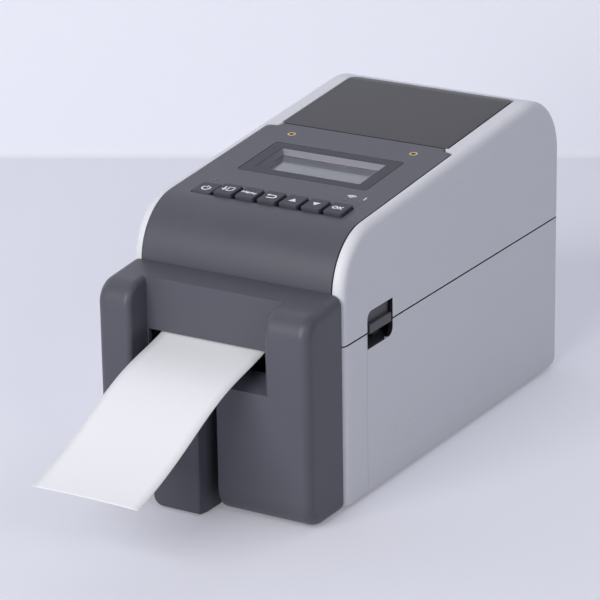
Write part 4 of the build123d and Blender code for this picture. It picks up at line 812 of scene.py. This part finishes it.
# Signs beside the lights, each with its place (x, s) on the slope in millimetres
LIGHT_SYMBOLS = {
    "link_symbol": ((33.3, -59.4), [(arc((0, -1.2), r, 40, 140, 9), PAGE) for r in (0.8, 1.7, 2.6)]),
    "alert_symbol": (
        (40.8, -59.8),
        [(line((0, -0.1), (0, 1.6)), CAPITAL), (line((0, -1.0), (0, -0.4)), CAPITAL)],
    ),
}
for name, ((x, s), strokes) in LIGHT_SYMBOLS.items():
    printed(name, (x * MM, s * MM + TOP_Z * PANEL_ALONG[2], PANEL_HEIGHT), strokes, "lid")


# Studio: floor, wall, lamps and camera

CAMERA_BACK = np.array(
    (
        np.sin(CAMERA_AZIMUTH) * np.cos(CAMERA_ELEVATION),
        -np.cos(CAMERA_AZIMUTH) * np.cos(CAMERA_ELEVATION),
        np.sin(CAMERA_ELEVATION),
    )
)
LEVEL_RIGHT = np.array((np.cos(CAMERA_AZIMUTH), np.sin(CAMERA_AZIMUTH), 0.0))
LEVEL_UP = np.cross(CAMERA_BACK, LEVEL_RIGHT)
CAMERA_RIGHT = LEVEL_RIGHT * np.cos(CAMERA_ROLL) + LEVEL_UP * np.sin(CAMERA_ROLL)
CAMERA_UP = -LEVEL_RIGHT * np.sin(CAMERA_ROLL) + LEVEL_UP * np.cos(CAMERA_ROLL)
FOCAL = CAMERA_LENS / SENSOR_W * PHOTO_SIZE


def floor_point(column, row):
    """Point of the floor seen at a pixel of the photograph."""
    right, down = column - PHOTO_SIZE / 2, row - PHOTO_SIZE / 2
    ray = (CAMERA_RIGHT * right - CAMERA_UP * down) / FOCAL - CAMERA_BACK
    return CAMERA_AT - ray * CAMERA_AT[2] / ray[2]


def studio_paper():
    """Matt paper, floor colour below the cove and wall colour above, that glows only to a direct look.

    The wall is clear to a look from behind it.
    """
    material, w, shader = new_finish("studio_paper")
    climb = w.stretch(w.axes()[2], (0.0, COVE_R))
    w.set(shader, "Base Color", w.mix(climb, FLOOR_COLOUR, WALL_COLOUR))
    seen = w.add("ShaderNodeLightPath").outputs
    direct = w.math("MAXIMUM", seen["Is Camera Ray"], seen["Is Transmission Ray"])
    direct = w.math("MAXIMUM", direct, seen["Is Glossy Ray"])
    glow = w.stretch(climb, (0.0, 1.0), (FLOOR_GLOW, WALL_GLOW))
    w.set(shader, "Emission Color", WALL_COLOUR)
    w.set(shader, "Emission Strength", w.math("MULTIPLY", direct, glow))
    behind = w.math("MULTIPLY", w.add("ShaderNodeNewGeometry").outputs["Backfacing"], direct)
    w.set(shader, "Alpha", w.math("SUBTRACT", 1.0, behind))
    w.set(shader, "Roughness", 0.7)
    w.set(shader, "Specular IOR Level", 0.2)
    return material


def studio_corner():
    """Floor and wall as one sheet: a profile of floor, quarter-round cove and wall along the wall's foot."""
    left, right = floor_point(0, WALL_ROW), floor_point(PHOTO_SIZE, WALL_ROW)
    along = (right - left) / np.linalg.norm(right - left)
    away = np.cross(UP, along)
    middle = (left + right) / 2
    turn = np.radians(np.linspace(0.0, 90.0, 13))
    depth = np.concatenate([FLOOR_ROWS, -COVE_R + COVE_R * np.sin(turn), [0.0]])
    rise = np.concatenate([np.zeros(len(FLOOR_ROWS)), COVE_R - COVE_R * np.cos(turn), [WALL_H]])
    points = (
        middle
        + WALL_COLUMNS[None, :, None] * along
        + depth[:, None, None] * away
        + rise[:, None, None] * UP
    )
    mesh = new_mesh("studio_corner", points, grid_faces(len(depth), len(WALL_COLUMNS)))
    mesh.polygons.foreach_set("use_smooth", np.full(len(mesh.polygons), True))
    mesh.materials.append(studio_paper())
    corner = bpy.data.objects.new("studio_corner", mesh)
    bpy.context.scene.collection.objects.link(corner)


def set_up(name, data, axes, at):
    """Lamp or camera at a point, with its own axes as the columns of a matrix."""
    holder = bpy.data.objects.new(name, data)
    holder.matrix_world = Matrix([(*row, place) for row, place in zip(axes, at)] + [(0, 0, 0, 1)])
    bpy.context.scene.collection.objects.link(holder)
    return holder


def softbox(name, at, size, watts, colour):
    """Square area lamp that faces the object."""
    lamp = bpy.data.lights.new(name, "AREA")
    lamp.size, lamp.energy, lamp.color = size, watts, colour
    back = np.array(at) - np.array(LAMP_AIM)
    back /= np.linalg.norm(back)
    side = np.cross(UP, back)
    side /= np.linalg.norm(side)
    set_up(name, lamp, np.stack([side, np.cross(back, side), back], axis=1), at)


def studio_camera():
    """The photograph's own camera."""
    camera = bpy.data.cameras.new("photo_camera")
    camera.lens, camera.sensor_width, camera.sensor_fit = CAMERA_LENS, SENSOR_W, "HORIZONTAL"
    camera.clip_start, camera.clip_end = 0.05, 50.0
    axes = np.stack([CAMERA_RIGHT, CAMERA_UP, CAMERA_BACK], axis=1)
    bpy.context.scene.camera = set_up("photo_camera", camera, axes, CAMERA_AT)


def studio_world():
    """Even light of the room."""
    world = bpy.data.worlds.new("studio_air")
    world.use_nodes = True
    background = world.node_tree.nodes["Background"]
    background.inputs["Color"].default_value = ROOM_COLOUR
    background.inputs["Strength"].default_value = ROOM_STRENGTH
    bpy.context.scene.world = world


studio_corner()
studio_world()
for name, lamp in LAMPS.items():
    softbox(name, **lamp)
studio_camera()
bpy.context.scene.view_settings.view_transform = "Standard"
